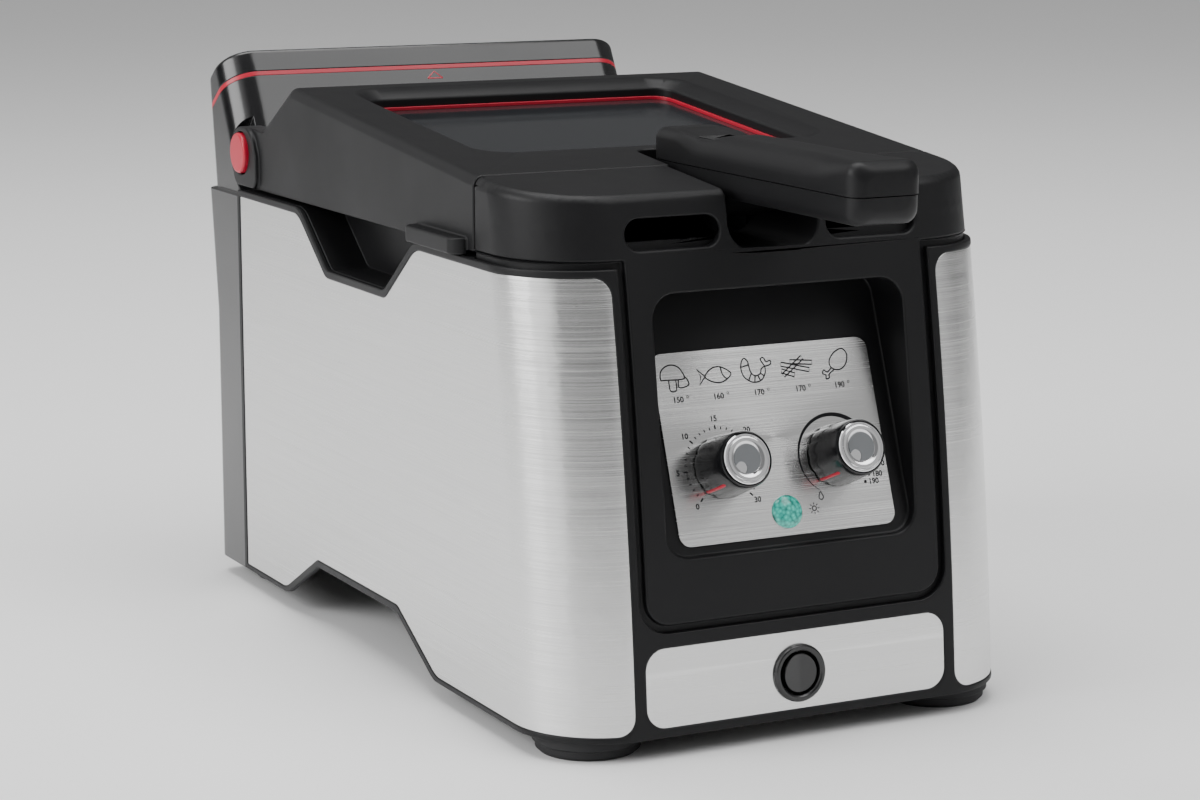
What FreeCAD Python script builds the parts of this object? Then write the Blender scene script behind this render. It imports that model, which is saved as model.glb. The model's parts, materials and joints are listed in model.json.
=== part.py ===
import FreeCAD, Part
import math
import os
import re
from types import SimpleNamespace

import Sketcher
from FreeCAD import Placement, Rotation, Vector

# Deep fryer with a rear-hinged lid, a lifting basket and a slanted control panel.
# Millimetres; +X to the right, -Y to the front, +Z up; the origin is on the floor,
# midway between the sides and midway between the handle's tip and the tower's back.

DIMENSIONS = {
    # outer hull
    "body_width": 234.0,
    "front_reach": 175.9,
    "front_setback": 23.8,
    "front_bow": 2.8,
    "corner_radius": 40.0,
    "skin_foot": 11.5,
    "skin_top": 201.4,
    "skin_rear": 185.4,
    "skin_thickness": 0.8,
    "skin_recess": 0.4,
    "skin_border": 3.0,
    "frame_foot": 8.8,
    "frame_top": 204.6,
    "frame_wall": 3.0,
    # side cut-outs
    "arch_front": -46.8,
    "arch_length": 168.0,
    "arch_rise": 19.4,
    "arch_slope": 36.0,
    "grip_front": -30.6,
    "grip_length": 128.7,
    "grip_drop": 22.9,
    "grip_slope": 30.0,
    "grip_depth": 22.0,
    "cutout_radius": 9.0,
    "cutout_lip": 3.6,
    # front: fascia, collar and lower plate
    "fascia_width": 144.6,
    "fascia_foot": 56.1,
    "fascia_gap": 3.3,
    "fascia_wall": 5.0,
    "collar_width": 228.6,
    "collar_foot": 207.7,
    "collar_wall": 3.0,
    "seam_reach": 94.0,
    "seam_gap": 1.0,
    "recess_width": 122.4,
    "recess_foot": 83.0,
    "recess_top": 193.0,
    "recess_radius": 11.0,
    "slot_length": 45.0,
    "slot_width": 13.2,
    "slot_centre": 48.5,
    "slot_level": 217.8,
    "trough_width": 44.0,
    "trough_level": 208.4,
    "plate_width": 147.6,
    "plate_foot": 12.9,
    "plate_top": 46.8,
    "switch_level": 28.5,
    "switch_radius": 12.6,
    # deck plane of collar and lid
    "deck_level": 248.8,
    "deck_slope": 0.1,
    # slanted control panel
    "panel_reach": 165.6,
    "panel_level": 88.5,
    "panel_tilt": 20.1,
    "panel_width": 106.6,
    "panel_length": 83.0,
    "panel_thickness": 1.0,
    "knob_spacing": 55.8,
    "knob_rise": 30.5,
    "knob_radius": 13.6,
    "knob_cap_radius": 11.0,
    "knob_length": 22.6,
    "lamp_rise": 8.7,
    "lamp_radius": 7.1,
    "shaft_radius": 3.0,
    "running_gap": 0.05,
    # lid
    "lid_width": 228.6,
    "lid_foot": 207.0,
    "lid_ridge": 118.0,
    "lid_back": 163.0,
    "lid_back_level": 234.5,
    "lid_wall": 3.0,
    "window_width": 180.0,
    "window_front": -52.0,
    "window_rear": 110.0,
    "window_radius": 18.0,
    "window_bevel": 8.0,
    "window_bevel_depth": 4.5,
    "glass_depth": 10.0,
    "glass_thickness": 3.0,
    "lid_notch_width": 40.0,
    "lid_notch_rear": -59.0,
    # hinge
    "hinge_reach": 180.9,
    "hinge_level": 223.5,
    "ear_radius": 13.2,
    "ear_thickness": 12.0,
    "ear_proud": 2.2,
    "pin_radius": 4.0,
    "button_radius": 10.1,
    "button_thickness": 5.0,
    "button_travel": 3.0,
    # tower
    "tower_width": 226.8,
    "tower_front": 174.5,
    "tower_lean": 0.5455,
    "tower_crest": 273.0,
    "tower_rear": 225.0,
    "tower_flare": 239.5,
    "tower_flare_level": 140.0,
    "tower_rear_top": 253.2,
    "tower_radius": 17.0,
    "tower_wall": 2.5,
    "cap_depth": 12.6,
    "band_depth": 2.3,
    "filter_thickness": 14.0,
    # inside
    "bowl_width": 172.0,
    "bowl_front": -86.0,
    "bowl_rear": 158.0,
    "bowl_foot": 56.0,
    "bowl_radius": 22.0,
    "bowl_wall": 0.8,
    "bowl_flange": 6.0,
    "tub_wall": 1.2,
    "tub_gap": 3.0,
    "tub_foot": 39.0,
    "basket_width": 152.0,
    "basket_front": -71.0,
    "basket_rear": 138.0,
    "basket_foot": 74.0,
    "basket_top": 190.0,
    "basket_wall": 1.6,
    "rim_wire": 2.0,
    "element_radius": 3.3,
    # handle
    "handle_tip": 239.5,
    "handle_width": 33.2,
    "handle_foot": 228.0,
    "handle_split": 240.0,
    "handle_top": 254.0,
    "handle_root": -67.0,
    "root_front": -128.0,
    "root_foot": 219.0,
    "pivot_reach": 81.0,
    "pivot_level": 236.0,
    "pivot_radius": 2.5,
    "tongue_width": 10.0,
    "slide_rear": -96.0,
    "slide_length": 18.0,
    "slide_width": 16.0,
    # feet
    "foot_height": 8.8,
    "front_foot_radius": 24.0,
    "rear_foot_radius": 15.0,
}

doc = FreeCAD.newDocument("deep_fryer")
sheet = doc.addObject("Spreadsheet::Sheet", "Dimensions")
for row, (alias, value) in enumerate(DIMENSIONS.items(), start=1):
    sheet.set(f"A{row}", alias)
    sheet.set(f"B{row}", str(value))
    sheet.setAlias(f"B{row}", alias)
doc.recompute()
d = SimpleNamespace(**{alias: float(sheet.get(alias)) for alias in DIMENSIONS})

ALIAS = re.compile(r"\b(" + "|".join(DIMENSIONS) + r")\b")
parts = []


# ---------------------------------------------------------------- document helpers

def bind(item, **formulas):
    """Tie properties of an object to formulas of the sheet's aliases."""
    for name, formula in formulas.items():
        item.setExpression(name.replace("__", "."), ALIAS.sub(r"Dimensions.\1", str(formula)))


def sub_part(item, label, placement=None):
    """Register an object as one separate piece under its own label."""
    item.Label = label
    if placement is not None:
        item.Placement = placement
    parts.append(item)
    return item


def feature(label, shape, placement=None):
    """A piece whose shape follows the hull or the deck and is worked out here."""
    item = doc.addObject("Part::Feature", label)
    item.Shape = shape
    return sub_part(item, label, placement)


def box(name, size, corner):
    """A Part::Box with formulas for its three sizes and its low corner."""
    item = doc.addObject("Part::Box", name)
    bind(item, Length=size[0], Width=size[1], Height=size[2])
    bind(item, Placement__Base__x=corner[0], Placement__Base__y=corner[1], Placement__Base__z=corner[2])
    return item


def cylinder(name, radius, height, foot=None):
    """A Part::Cylinder with formulas for its radius, height and, where given, its foot."""
    item = doc.addObject("Part::Cylinder", name)
    bind(item, Radius=radius, Height=height)
    if foot is not None:
        bind(item, Placement__Base__x=foot[0], Placement__Base__y=foot[1], Placement__Base__z=foot[2])
    return item


def cut(name, base, tool):
    item = doc.addObject("Part::Cut", name)
    item.Base = base
    item.Tool = tool
    return item


def new_body(label, placement=None):
    return sub_part(doc.addObject("PartDesign::Body", label), label, placement)


def sketch_on(body, name, role="XY_Plane"):
    """An empty sketch on one of the body's own origin planes."""
    sketch = body.newObject("Sketcher::SketchObject", name)
    plane = next(item for item in body.Origin.OriginFeatures if item.Role == role)
    sketch.AttachmentSupport = (plane, [""])
    sketch.MapMode = "FlatFace"
    return sketch


def draw_polygon(sketch, corners):
    """A closed polygon whose corners are pairs of formulas."""
    first = sketch.GeometryCount
    count = len(corners)
    rough = [Vector(index, index * index, 0) for index in range(count)]
    for index in range(count):
        sketch.addGeometry(Part.LineSegment(rough[index], rough[(index + 1) % count]), False)
    for index in range(count):
        joined = first + (index + 1) % count
        sketch.addConstraint(Sketcher.Constraint("Coincident", first + index, 2, joined, 1))
    for index, (along, across) in enumerate(corners):
        fix_point(sketch, first + index, 1, along, across, rough[index])


def fix_point(sketch, geometry, vertex, along, across, rough):
    for kind, formula, start in (("DistanceX", along, rough.x), ("DistanceY", across, rough.y)):
        number = sketch.addConstraint(Sketcher.Constraint(kind, -1, 1, geometry, vertex, start))
        bind(sketch, **{f"Constraints[{number}]": formula})


def draw_rectangle(sketch, left, low, right, high):
    draw_polygon(sketch, [(left, low), (right, low), (right, high), (left, high)])


def draw_circle(sketch, along, across, radius):
    rough = Vector(1.0, 2.0, 0)
    number = sketch.addGeometry(Part.Circle(rough, Vector(0, 0, 1), 1.0), False)
    fix_point(sketch, number, 3, along, across, rough)
    size = sketch.addConstraint(Sketcher.Constraint("Radius", number, 1.0))
    bind(sketch, **{f"Constraints[{size}]": radius})


def pad(body, sketch, length, reverse=False):
    item = body.newObject("PartDesign::Pad", sketch.Name + "_pad")
    item.Profile = sketch
    item.Reversed = reverse
    bind(item, Length=length)
    return item


def pocket(body, sketch, length, reverse=False):
    item = body.newObject("PartDesign::Pocket", sketch.Name + "_pocket")
    item.Profile = sketch
    item.Reversed = reverse
    bind(item, Length=length)
    return item


def revolve(body, sketch):
    """Turn a profile drawn in the XZ plane about the body's own Z axis."""
    item = body.newObject("PartDesign::Revolution", sketch.Name + "_turned")
    item.Profile = sketch
    item.ReferenceAxis = (sketch, ["V_Axis"])
    item.Angle = 360.0
    return item


def round_edges(body, base, picked, radius):
    """Fillet the edges of the last feature that the test picks."""
    doc.recompute()
    names = [f"Edge{i}" for i, edge in enumerate(base.Shape.Edges, start=1) if picked(edge)]
    item = body.newObject("PartDesign::Fillet", base.Name + "_rounded")
    item.Base = (base, names)
    bind(item, Radius=radius)
    return item


def is_upright(edge):
    """True for a straight edge along the body's Z axis."""
    box_ = edge.BoundBox
    return box_.XLength < 1e-6 and box_.YLength < 1e-6


# ---------------------------------------------------------------- shape helpers

def outline(corners, place):
    """A closed wire through (u, v, radius) corners, each rounded by a tangent arc."""
    count = len(corners)
    ends = []
    for index, (u, v, radius) in enumerate(corners):
        here = Vector(u, v, 0)
        back = (Vector(*corners[index - 1][:2], 0) - here).normalize()
        ahead = (Vector(*corners[(index + 1) % count][:2], 0) - here).normalize()
        if radius <= 0:
            ends.append((here, None, here))
            continue
        half = back.getAngle(ahead) / 2
        reach = radius / math.tan(half)
        middle = here + (back + ahead).normalize() * (radius / math.sin(half) - radius)
        ends.append((here + back * reach, middle, here + ahead * reach))
    edges = []
    for index, (start, middle, stop) in enumerate(ends):
        if middle is not None:
            edges.append(Part.Arc(place(start), place(middle), place(stop)).toShape())
        follow = ends[(index + 1) % count][0]
        if (follow - stop).Length > 1e-6:
            edges.append(Part.LineSegment(place(stop), place(follow)).toShape())
    return Part.Wire(edges)


def prism(axis, corners, low, high):
    """Extrude rounded corners along an axis: YZ for x, XZ for y and XY for z."""
    places = {
        "x": lambda p: Vector(low, p.x, p.y),
        "y": lambda p: Vector(p.x, low, p.y),
        "z": lambda p: Vector(p.x, p.y, low),
    }
    along = {"x": Vector(1, 0, 0), "y": Vector(0, 1, 0), "z": Vector(0, 0, 1)}[axis]
    return Part.Face(outline(corners, places[axis])).extrude(along * (high - low))


def rectangle(left, low, right, high, radius=0.0, upper_radius=None):
    upper = radius if upper_radius is None else upper_radius
    return [(left, low, radius), (right, low, radius), (right, high, upper), (left, high, upper)]


def mirrored(shape):
    return shape.mirror(Vector(), Vector(1, 0, 0))


def joined(first, *others):
    """Fuse shapes one after another."""
    for other in others:
        first = first.fuse(other)
    return first


def both_sides(shape):
    return shape.fuse(mirrored(shape))


def front_at(level):
    """Y of the leaning, slightly bowed front face at a height."""
    part_way = (level - d.skin_foot) / (d.skin_top - d.skin_foot)
    return -d.front_reach + d.front_setback * part_way - 4 * d.front_bow * part_way * (1 - part_way)


def hull(half, inset, low, high, rear):
    """Solid of the rounded plan, set in from the outer surface, between two heights."""
    sections = []
    for step in range(5):
        level = low + (high - low) * step / 4
        face = front_at(level) + inset
        side = half - inset
        radius = d.corner_radius - inset
        corners = [(-side, rear, 0), (-side, face, radius), (side, face, radius), (side, rear, 0)]
        sections.append(outline(corners, lambda p, z=level: Vector(p.x, p.y, z)))
    return Part.makeLoft(sections, True, False)


def deck_at(y):
    return d.deck_level + d.deck_slope * y


def tilted(angle, base):
    """Placement turned about X by an angle in degrees."""
    return Placement(base, Rotation(Vector(1, 0, 0), angle))


half_body = d.body_width / 2
half_collar = d.collar_width / 2
half_lid = d.lid_width / 2
far = 400.0
RIM_LAP = 0.1
ROCKER_TILT = 12.0
TAB_FRONT = -87.0
TAB_REAR = -33.0
TAB_PROUD = 7.0
NOTCH_RISE = 15.0
# inside the tower: room beside the rear feet and the tray's tail
FOOT_CLEAR = 1.9
TAIL_CLEAR = 13.4
# lid: room round the hinge arms
ARM_REACH = 40.0
ARM_GAP = 0.5
# tower: hinge boss, rear cover and cord gland
EAR_GAP = 0.8
BOSS_DEPTH = 12.0
PIN_DEPTH = 10.0
COVER_HALF = 80.0
COVER_FOOT = 30.0
COVER_TOP = 130.0
COVER_RADIUS = 8.0
GLAND_RADIUS = 7.0
GLAND_SIDE = 70.0
GLAND_LEVEL = 20.0

deck_frame = tilted(math.degrees(math.atan(d.deck_slope)), Vector(0, 0, d.deck_level))
panel_frame = tilted(90 - d.panel_tilt, Vector(0, -d.panel_reach, d.panel_level))
switch_lean = math.degrees(math.atan((front_at(d.plate_top) - front_at(d.plate_foot))
                                     / (d.plate_top - d.plate_foot)))
switch_frame = tilted(90 - switch_lean, Vector(0, front_at(d.switch_level) + d.skin_recess, d.switch_level))
crest_y = d.tower_front + d.tower_lean * (d.tower_crest - d.frame_top)
crest_fall = math.degrees(math.atan((d.tower_crest - d.tower_rear_top) / (d.tower_flare - crest_y)))
crest_frame = tilted(-crest_fall, Vector(0, crest_y, d.tower_crest))


def on_frame(frame, x, y, z=0.0):
    """Placement at a point of a tilted frame, with the frame's own axes."""
    return frame.multiply(Placement(Vector(x, y, z), Rotation()))


def rod(axis, radius, length, x, y, z):
    """A round bar that starts at a point and runs along an axis."""
    direction = Vector(axis == "x", axis == "y", axis == "z")
    return Part.makeCylinder(radius, length, Vector(x, y, z), direction)


# ---------------------------------------------------------------- hull pieces

def cutout(start, stop, slope, rim, floor, beyond):
    """Side view of a flared cut-out that blends into the rim and has sloping ends."""
    radius = d.cutout_radius
    wide = 2 * radius
    return [(start - wide, beyond, 0), (start - wide, rim, 0), (start, rim, wide),
            (start + slope, floor, radius), (stop - slope, floor, radius),
            (stop, rim, wide), (stop + wide, rim, 0), (stop + wide, beyond, 0)]


def arch_outline(lip, rim):
    """The arch under the body, set out by a lip, opening at a rim level."""
    run = d.arch_slope / d.arch_rise
    floor = d.skin_foot + d.arch_rise + lip
    spread = lip * math.sqrt(1 + run * run) - (rim - d.skin_foot) * run
    slope = (floor - rim) * run
    start = d.arch_front - spread
    stop = d.arch_front + d.arch_length + spread
    return cutout(start, stop, slope, rim, floor, d.frame_foot - 5)


def grip_outline(lip, rim):
    """The hand recess at the top of a side, set out by a lip, opening at a rim level."""
    run = d.grip_slope / d.grip_drop
    floor = d.skin_top - d.grip_drop - lip
    spread = lip * math.sqrt(1 + run * run) + (rim - d.skin_top) * run
    slope = (rim - floor) * run
    start = d.grip_front - spread
    stop = d.grip_front + d.grip_length + spread
    return cutout(start, stop, slope, rim, floor, d.frame_top + 10)


def skin_mask():
    """Region of the left skin: side outline and front outline together."""
    side = prism("x", rectangle(-far, d.skin_foot, d.skin_rear - d.skin_border, d.skin_top), -far, 0)
    edge = -(d.fascia_width / 2 + d.fascia_gap + d.skin_border + 0.6)
    front = prism("y", rectangle(-far, d.skin_foot, edge, d.skin_top, 8.0), -far, far)
    mask = side.common(front)
    mask = mask.cut(prism("x", arch_outline(d.cutout_lip, d.skin_foot - RIM_LAP), -far, 0))
    return mask.cut(prism("x", grip_outline(d.cutout_lip, d.skin_top + RIM_LAP), -far, 0))


low_end = d.frame_foot - 6
high_end = d.deck_level + 10
skin_depth = d.skin_recess + d.skin_thickness
surface = hull(half_body, 0.0, d.frame_foot, d.frame_top, d.skin_rear)
skin_band = hull(half_body, d.skin_recess, low_end, high_end, far).cut(
    hull(half_body, skin_depth, low_end - 1, high_end + 1, far + 1))
pocket_band = hull(half_body, -5.0, low_end, high_end, far).cut(
    hull(half_body, skin_depth, low_end - 1, high_end + 1, far + 1))
left_mask = skin_mask()
plate_mask = prism("y", rectangle(-d.plate_width / 2, d.plate_foot, d.plate_width / 2, d.plate_top, 9.0),
                   -far, 0)
switch_hole = Part.makeCylinder(d.switch_radius - 1.4, 60, Vector(0, 0, -30))
switch_hole.Placement = switch_frame


def make_body_frame():
    shell = surface.cut(hull(half_body, d.frame_wall, low_end, high_end, d.skin_rear - d.frame_wall))
    opening_half = d.fascia_width / 2 + d.fascia_gap
    opening = prism("y", rectangle(-opening_half, d.fascia_foot - d.fascia_gap, opening_half,
                                   d.frame_top + 5, 14.0, 0.0), -far, 0)
    shell = shell.cut(opening)
    shell = shell.cut(prism("x", arch_outline(0, d.frame_foot - RIM_LAP), -far, far))
    shell = shell.cut(prism("x", grip_outline(0, d.frame_top + RIM_LAP), -far, far))
    for mask in (left_mask, mirrored(left_mask), plate_mask):
        shell = shell.cut(pocket_band.common(mask))
    tail = prism("z", rectangle(-half_body + 20, d.skin_rear - d.frame_wall - 1, half_body - 20,
                                d.skin_rear + 1), d.tub_foot - 3, d.frame_top + 1)
    return shell.cut(tail).cut(switch_hole)


def make_skins():
    left = skin_band.common(left_mask)
    feature("left_steel_skin", left)
    feature("right_steel_skin", mirrored(left))
    feature("lower_front_plate", skin_band.common(plate_mask).cut(switch_hole))


ring_half = d.bowl_width / 2 + 4
ring_front = d.bowl_front - 4
ring_rear = d.bowl_rear + 4
ring_foot = d.frame_top - d.frame_wall
grip_wall_x = half_body - d.grip_depth


def make_rim_ring():
    """Deck round the bowl with the walls and floors of the two hand recesses."""
    inner = hull(half_body, d.frame_wall, ring_foot, d.frame_top, d.skin_rear - d.frame_wall)
    front = prism("z", rectangle(-far, -far, far, -d.seam_reach + 2), ring_foot - 1, d.frame_top + 1)
    ring = inner.cut(front)
    wall = 2.0
    floor = d.skin_top - d.grip_drop
    start = d.grip_front - wall
    stop = d.grip_front + d.grip_length + wall
    block = prism("x", [(start, d.frame_top, 0), (start, d.skin_top - 4, 0),
                        (start + d.grip_slope, floor - wall, 5), (stop - d.grip_slope, floor - wall, 5),
                        (stop, d.skin_top - 4, 0), (stop, d.frame_top, 0)],
                  -half_body + d.frame_wall, -grip_wall_x + wall)
    hollow = prism("x", grip_outline(0, d.frame_top + RIM_LAP), -far, -grip_wall_x)
    ring = ring.fuse(both_sides(block)).cut(both_sides(hollow))
    opening = prism("z", rectangle(-ring_half, ring_front, ring_half, ring_rear, d.bowl_radius),
                    floor - 20, d.frame_top + 1)
    return ring.cut(opening).removeSplitter()


# ---------------------------------------------------------------- fascia and collar

half_trough = d.trough_width / 2
below_deck = prism("x", [(-far, -far, 0), (far, -far, 0), (far, deck_at(far), 0), (-far, deck_at(-far), 0)],
                   -far, far)
under_deck = below_deck.copy()
under_deck.translate(Vector(0, 0, -d.collar_wall))


def trough_outline(half, floor, radius):
    return rectangle(-half, floor, half, d.deck_level + 20, radius, 0.0)


def collar_solid(inset, low, limit, rear):
    return hull(half_collar, inset, low, d.deck_level, rear).common(limit)


def bed_space(behind):
    """Everything in front of the slanted bed, moved back along the bed's normal."""
    space = Part.makeBox(2 * far, 2 * far, far, Vector(-far, -far, -behind))
    space.Placement = panel_frame
    return space


def make_fascia():
    rear = -d.seam_reach
    outer = collar_solid(0.0, d.collar_foot, below_deck, rear)
    crown = [edge for edge in outer.Edges
             if edge.CenterOfMass.z > d.collar_foot + 8 and edge.BoundBox.YMax < rear + 0.1
             and edge.BoundBox.ZMin > d.collar_foot + 8 and edge.BoundBox.ZLength < 9
             and edge.BoundBox.YMin < rear - 5]
    outer = outer.makeFillet(5.0, crown)
    inner = collar_solid(d.collar_wall, d.collar_foot - 5, under_deck, rear - d.collar_wall)
    collar = outer.cut(inner)
    # hidden skirt that drops inside the frame, behind the shadow gap
    skirt_gap = d.frame_wall + 0.2
    skirt_wall = 3.3
    skirt = hull(half_body, skirt_gap, ring_foot, d.collar_foot + 2, rear).fuse(
        hull(half_collar, 1.0, d.collar_foot, d.collar_foot + 2, rear))
    skirt = skirt.cut(hull(half_body, skirt_gap + skirt_wall, ring_foot - 1, d.collar_foot + 3,
                           rear - d.collar_wall))
    face_mask = prism("y", rectangle(-d.fascia_width / 2, d.fascia_foot, d.fascia_width / 2,
                                     d.collar_foot + 8, 11.0, 0.0), -far, -d.seam_reach - 20)
    flange_mask = prism("y", rectangle(-d.fascia_width / 2 - 6, d.fascia_foot - 8, d.fascia_width / 2 + 6,
                                       d.collar_foot + 4, 14.0, 0.0), -far, -d.seam_reach - 20)
    back = hull(half_body, d.fascia_wall, d.fascia_foot - 20, d.collar_foot + 20, far)
    face = hull(half_body, 0.0, d.fascia_foot - 19, d.collar_foot + 19, 0.0).cut(back).common(face_mask)
    flange = hull(half_body, skirt_gap, d.fascia_foot - 19, d.collar_foot + 19, 0.0).cut(
        back).common(flange_mask)
    half_recess = d.recess_width / 2
    wall = 3.0
    housing = prism("y", rectangle(-half_recess - wall, d.recess_foot - wall, half_recess + wall,
                                   d.recess_top + wall, d.recess_radius + wall), -far, -d.seam_reach)
    hull_inside = hull(half_body, 1.0, d.fascia_foot, d.collar_foot + 1, 0.0)
    housing = housing.common(hull_inside).common(bed_space(d.panel_thickness + wall))
    solid = joined(collar, skirt, face, flange, housing)
    recess = prism("y", rectangle(-half_recess, d.recess_foot, half_recess, d.recess_top, d.recess_radius),
                   -far, 0).common(bed_space(d.panel_thickness))
    solid = solid.cut(recess)
    block = prism("y", trough_outline(half_trough + wall, d.trough_level - wall, 15.0), -far, rear)
    block = block.common(collar_solid(1.0, d.trough_level - wall - 1, below_deck, rear)).common(
        collar_solid(0.0, d.trough_level - wall - 1, under_deck, rear))
    solid = solid.fuse(block)
    solid = solid.cut(prism("y", trough_outline(half_trough, d.trough_level, 12.0), -far, 0))
    half_slot = d.slot_length / 2
    for side in (-1, 1):
        centre = side * d.slot_centre
        slot = rectangle(centre - half_slot, d.slot_level - d.slot_width / 2,
                         centre + half_slot, d.slot_level + d.slot_width / 2, d.slot_width / 2)
        solid = solid.cut(prism("y", slot, -far, -d.seam_reach - 25))
    for x in (-d.knob_spacing / 2, d.knob_spacing / 2):
        hole = Part.makeCylinder(d.shaft_radius + 1, 30, Vector(x, d.knob_rise, -15))
        hole.Placement = panel_frame
        solid = solid.cut(hole)
    lamp = Part.makeCylinder(d.lamp_radius - 1.5, 30, Vector(0, d.lamp_rise, -15))
    lamp.Placement = panel_frame
    return solid.cut(lamp).removeSplitter()


# ---------------------------------------------------------------- control panel

def make_control_panel():
    body = new_body("control_panel", on_frame(panel_frame, 0, 0, -d.panel_thickness))
    plate = sketch_on(body, "panel_outline")
    draw_rectangle(plate, "-panel_width / 2", "-1.5", "panel_width / 2", "panel_length - 1.5")
    base = pad(body, plate, "panel_thickness")
    round_edges(body, base, is_upright, "5.4")
    holes = sketch_on(body, "panel_holes")
    draw_circle(holes, "-knob_spacing / 2", "knob_rise", "shaft_radius + 1")
    draw_circle(holes, "knob_spacing / 2", "knob_rise", "shaft_radius + 1")
    draw_circle(holes, "0", "lamp_rise", "lamp_radius - 1.5")
    body.Tip = pocket(body, holes, "panel_thickness", reverse=True)


def make_knob(name, x):
    """Tapered knob turned about its shaft, with a recess for the metal cap."""
    clear = 0.6
    place = on_frame(panel_frame, x, d.knob_rise, clear)
    body = new_body(name + "_knob", place)
    profile = sketch_on(body, name + "_profile", "XZ_Plane")
    draw_polygon(profile, [
        ("shaft_radius", "0"), ("knob_radius - 1", "0"), ("knob_radius", "1"), ("knob_radius", "3"),
        ("knob_cap_radius + 1.4", "knob_length - 1.6"), ("knob_cap_radius + 0.4", "knob_length - 0.4"),
        ("knob_cap_radius", "knob_length - 0.4"), ("knob_cap_radius", "knob_length - 2"),
        ("shaft_radius", "knob_length - 2")])
    body.Tip = revolve(body, profile)
    cap = new_body(name + "_knob_cap", place)
    dome = sketch_on(cap, name + "_cap_profile", "XZ_Plane")
    draw_polygon(dome, [
        ("0", "knob_length - 2"), ("knob_cap_radius", "knob_length - 2"),
        ("knob_cap_radius", "knob_length - 0.6"), ("knob_cap_radius - 1.2", "knob_length + 0.5"),
        ("knob_cap_radius - 2.2", "knob_length - 0.5"), ("0", "knob_length - 0.5")])
    cap.Tip = revolve(cap, dome)
    shaft_tail = 14.0
    shaft = cylinder(name + "_shaft_rod", "shaft_radius", f"knob_length - 2 + {shaft_tail + clear}")
    shaft.Placement = on_frame(panel_frame, x, d.knob_rise, -shaft_tail)
    sub_part(shaft, name + "_shaft")
    # switch body behind the bed, with a running bore for the shaft
    back = d.panel_thickness + 3.0
    depth = 22.0
    case = box(name + "_case", ("40", "36", str(depth)), ("-20", "-18", "0"))
    bore = cylinder(name + "_bore", "shaft_radius + running_gap", str(depth + 2), ("0", "0", "-1"))
    sub_part(cut(name + "_body_cut", case, bore), name + "_mechanism",
             on_frame(panel_frame, x, d.knob_rise, -back - depth))


def make_lamp():
    place = on_frame(panel_frame, 0, d.lamp_rise, 0)
    body = new_body("ready_lamp_lens", place)
    profile = sketch_on(body, "lens_profile", "XZ_Plane")
    draw_polygon(profile, [
        ("0", "-panel_thickness - 3"), ("lamp_radius - 1.6", "-panel_thickness - 3"),
        ("lamp_radius - 1.6", "0"), ("lamp_radius", "0"), ("lamp_radius", "0.8"),
        ("lamp_radius * 0.8", "1.9"), ("lamp_radius * 0.45", "2.6"), ("0", "2.8")])
    body.Tip = revolve(body, profile)
    depth = 14
    holder = cylinder("lamp_holder_can", "lamp_radius - 1.7", str(depth))
    sub_part(holder, "lamp_holder", on_frame(panel_frame, 0, d.lamp_rise, -d.panel_thickness - 3 - depth))


# ---------------------------------------------------------------- mains switch

def make_switch():
    proud = 2.0
    bezel = new_body("switch_bezel", switch_frame)
    profile = sketch_on(bezel, "bezel_profile", "XZ_Plane")
    draw_polygon(profile, [
        ("switch_radius - 3", "-14"), ("switch_radius - 1.6", "-14"), ("switch_radius - 1.6", "0"),
        ("switch_radius", "0"), ("switch_radius", "1"), ("switch_radius - 0.8", str(proud)),
        ("switch_radius - 2.2", str(proud)), ("switch_radius - 3", "1.2")])
    bezel.Tip = revolve(bezel, profile)
    # rocker: a round key with two faces in a shallow V, its left face standing proud
    radius = d.switch_radius - 4.2
    face = 0.9
    pivot = -2.6
    rise = radius * math.tan(math.radians(ROCKER_TILT))
    key = Part.makeCylinder(radius, 4 + face + rise, Vector(0, 0, -4))
    above = prism("y", [(-radius - 1, face + rise * (radius + 1) / radius, 0), (0, face, 0),
                        (radius + 1, face, 0), (radius + 1, far, 0), (-radius - 1, far, 0)],
                  -radius - 1, radius + 1)
    reach = d.switch_radius - 3.1
    trunnion = Part.makeCylinder(1.2, 2 * reach, Vector(0, -reach, pivot), Vector(0, 1, 0))
    feature("switch_rocker", key.cut(above).fuse(trunnion), switch_frame)
    contact = cylinder("switch_contact_can", "switch_radius - 3", "5")
    sub_part(contact, "switch_contacts", on_frame(switch_frame, 0, 0, -19))


# ---------------------------------------------------------------- lid

def lid_profile(grow):
    """Side view of the lid's middle, set in by a wall; heights follow the deck."""
    front = -d.seam_reach + d.seam_gap - grow
    top_front = deck_at(front) + grow
    top_ridge = deck_at(d.lid_ridge) + grow
    back = d.lid_back + grow
    return [(front, d.lid_foot, 0), (back, d.lid_foot, 0), (back, d.lid_back_level, 0),
            (d.lid_ridge, top_ridge, 0), (front, top_front, 0)]


glass_floor = d.glass_depth + d.glass_thickness
ear_inner = half_lid + d.ear_proud - d.ear_thickness


def window_outline(grow):
    half = d.window_width / 2 + grow
    radius = max(d.window_radius + grow, 2.0)
    return rectangle(-half, d.window_front - grow, half, d.window_rear + grow, radius)


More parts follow.
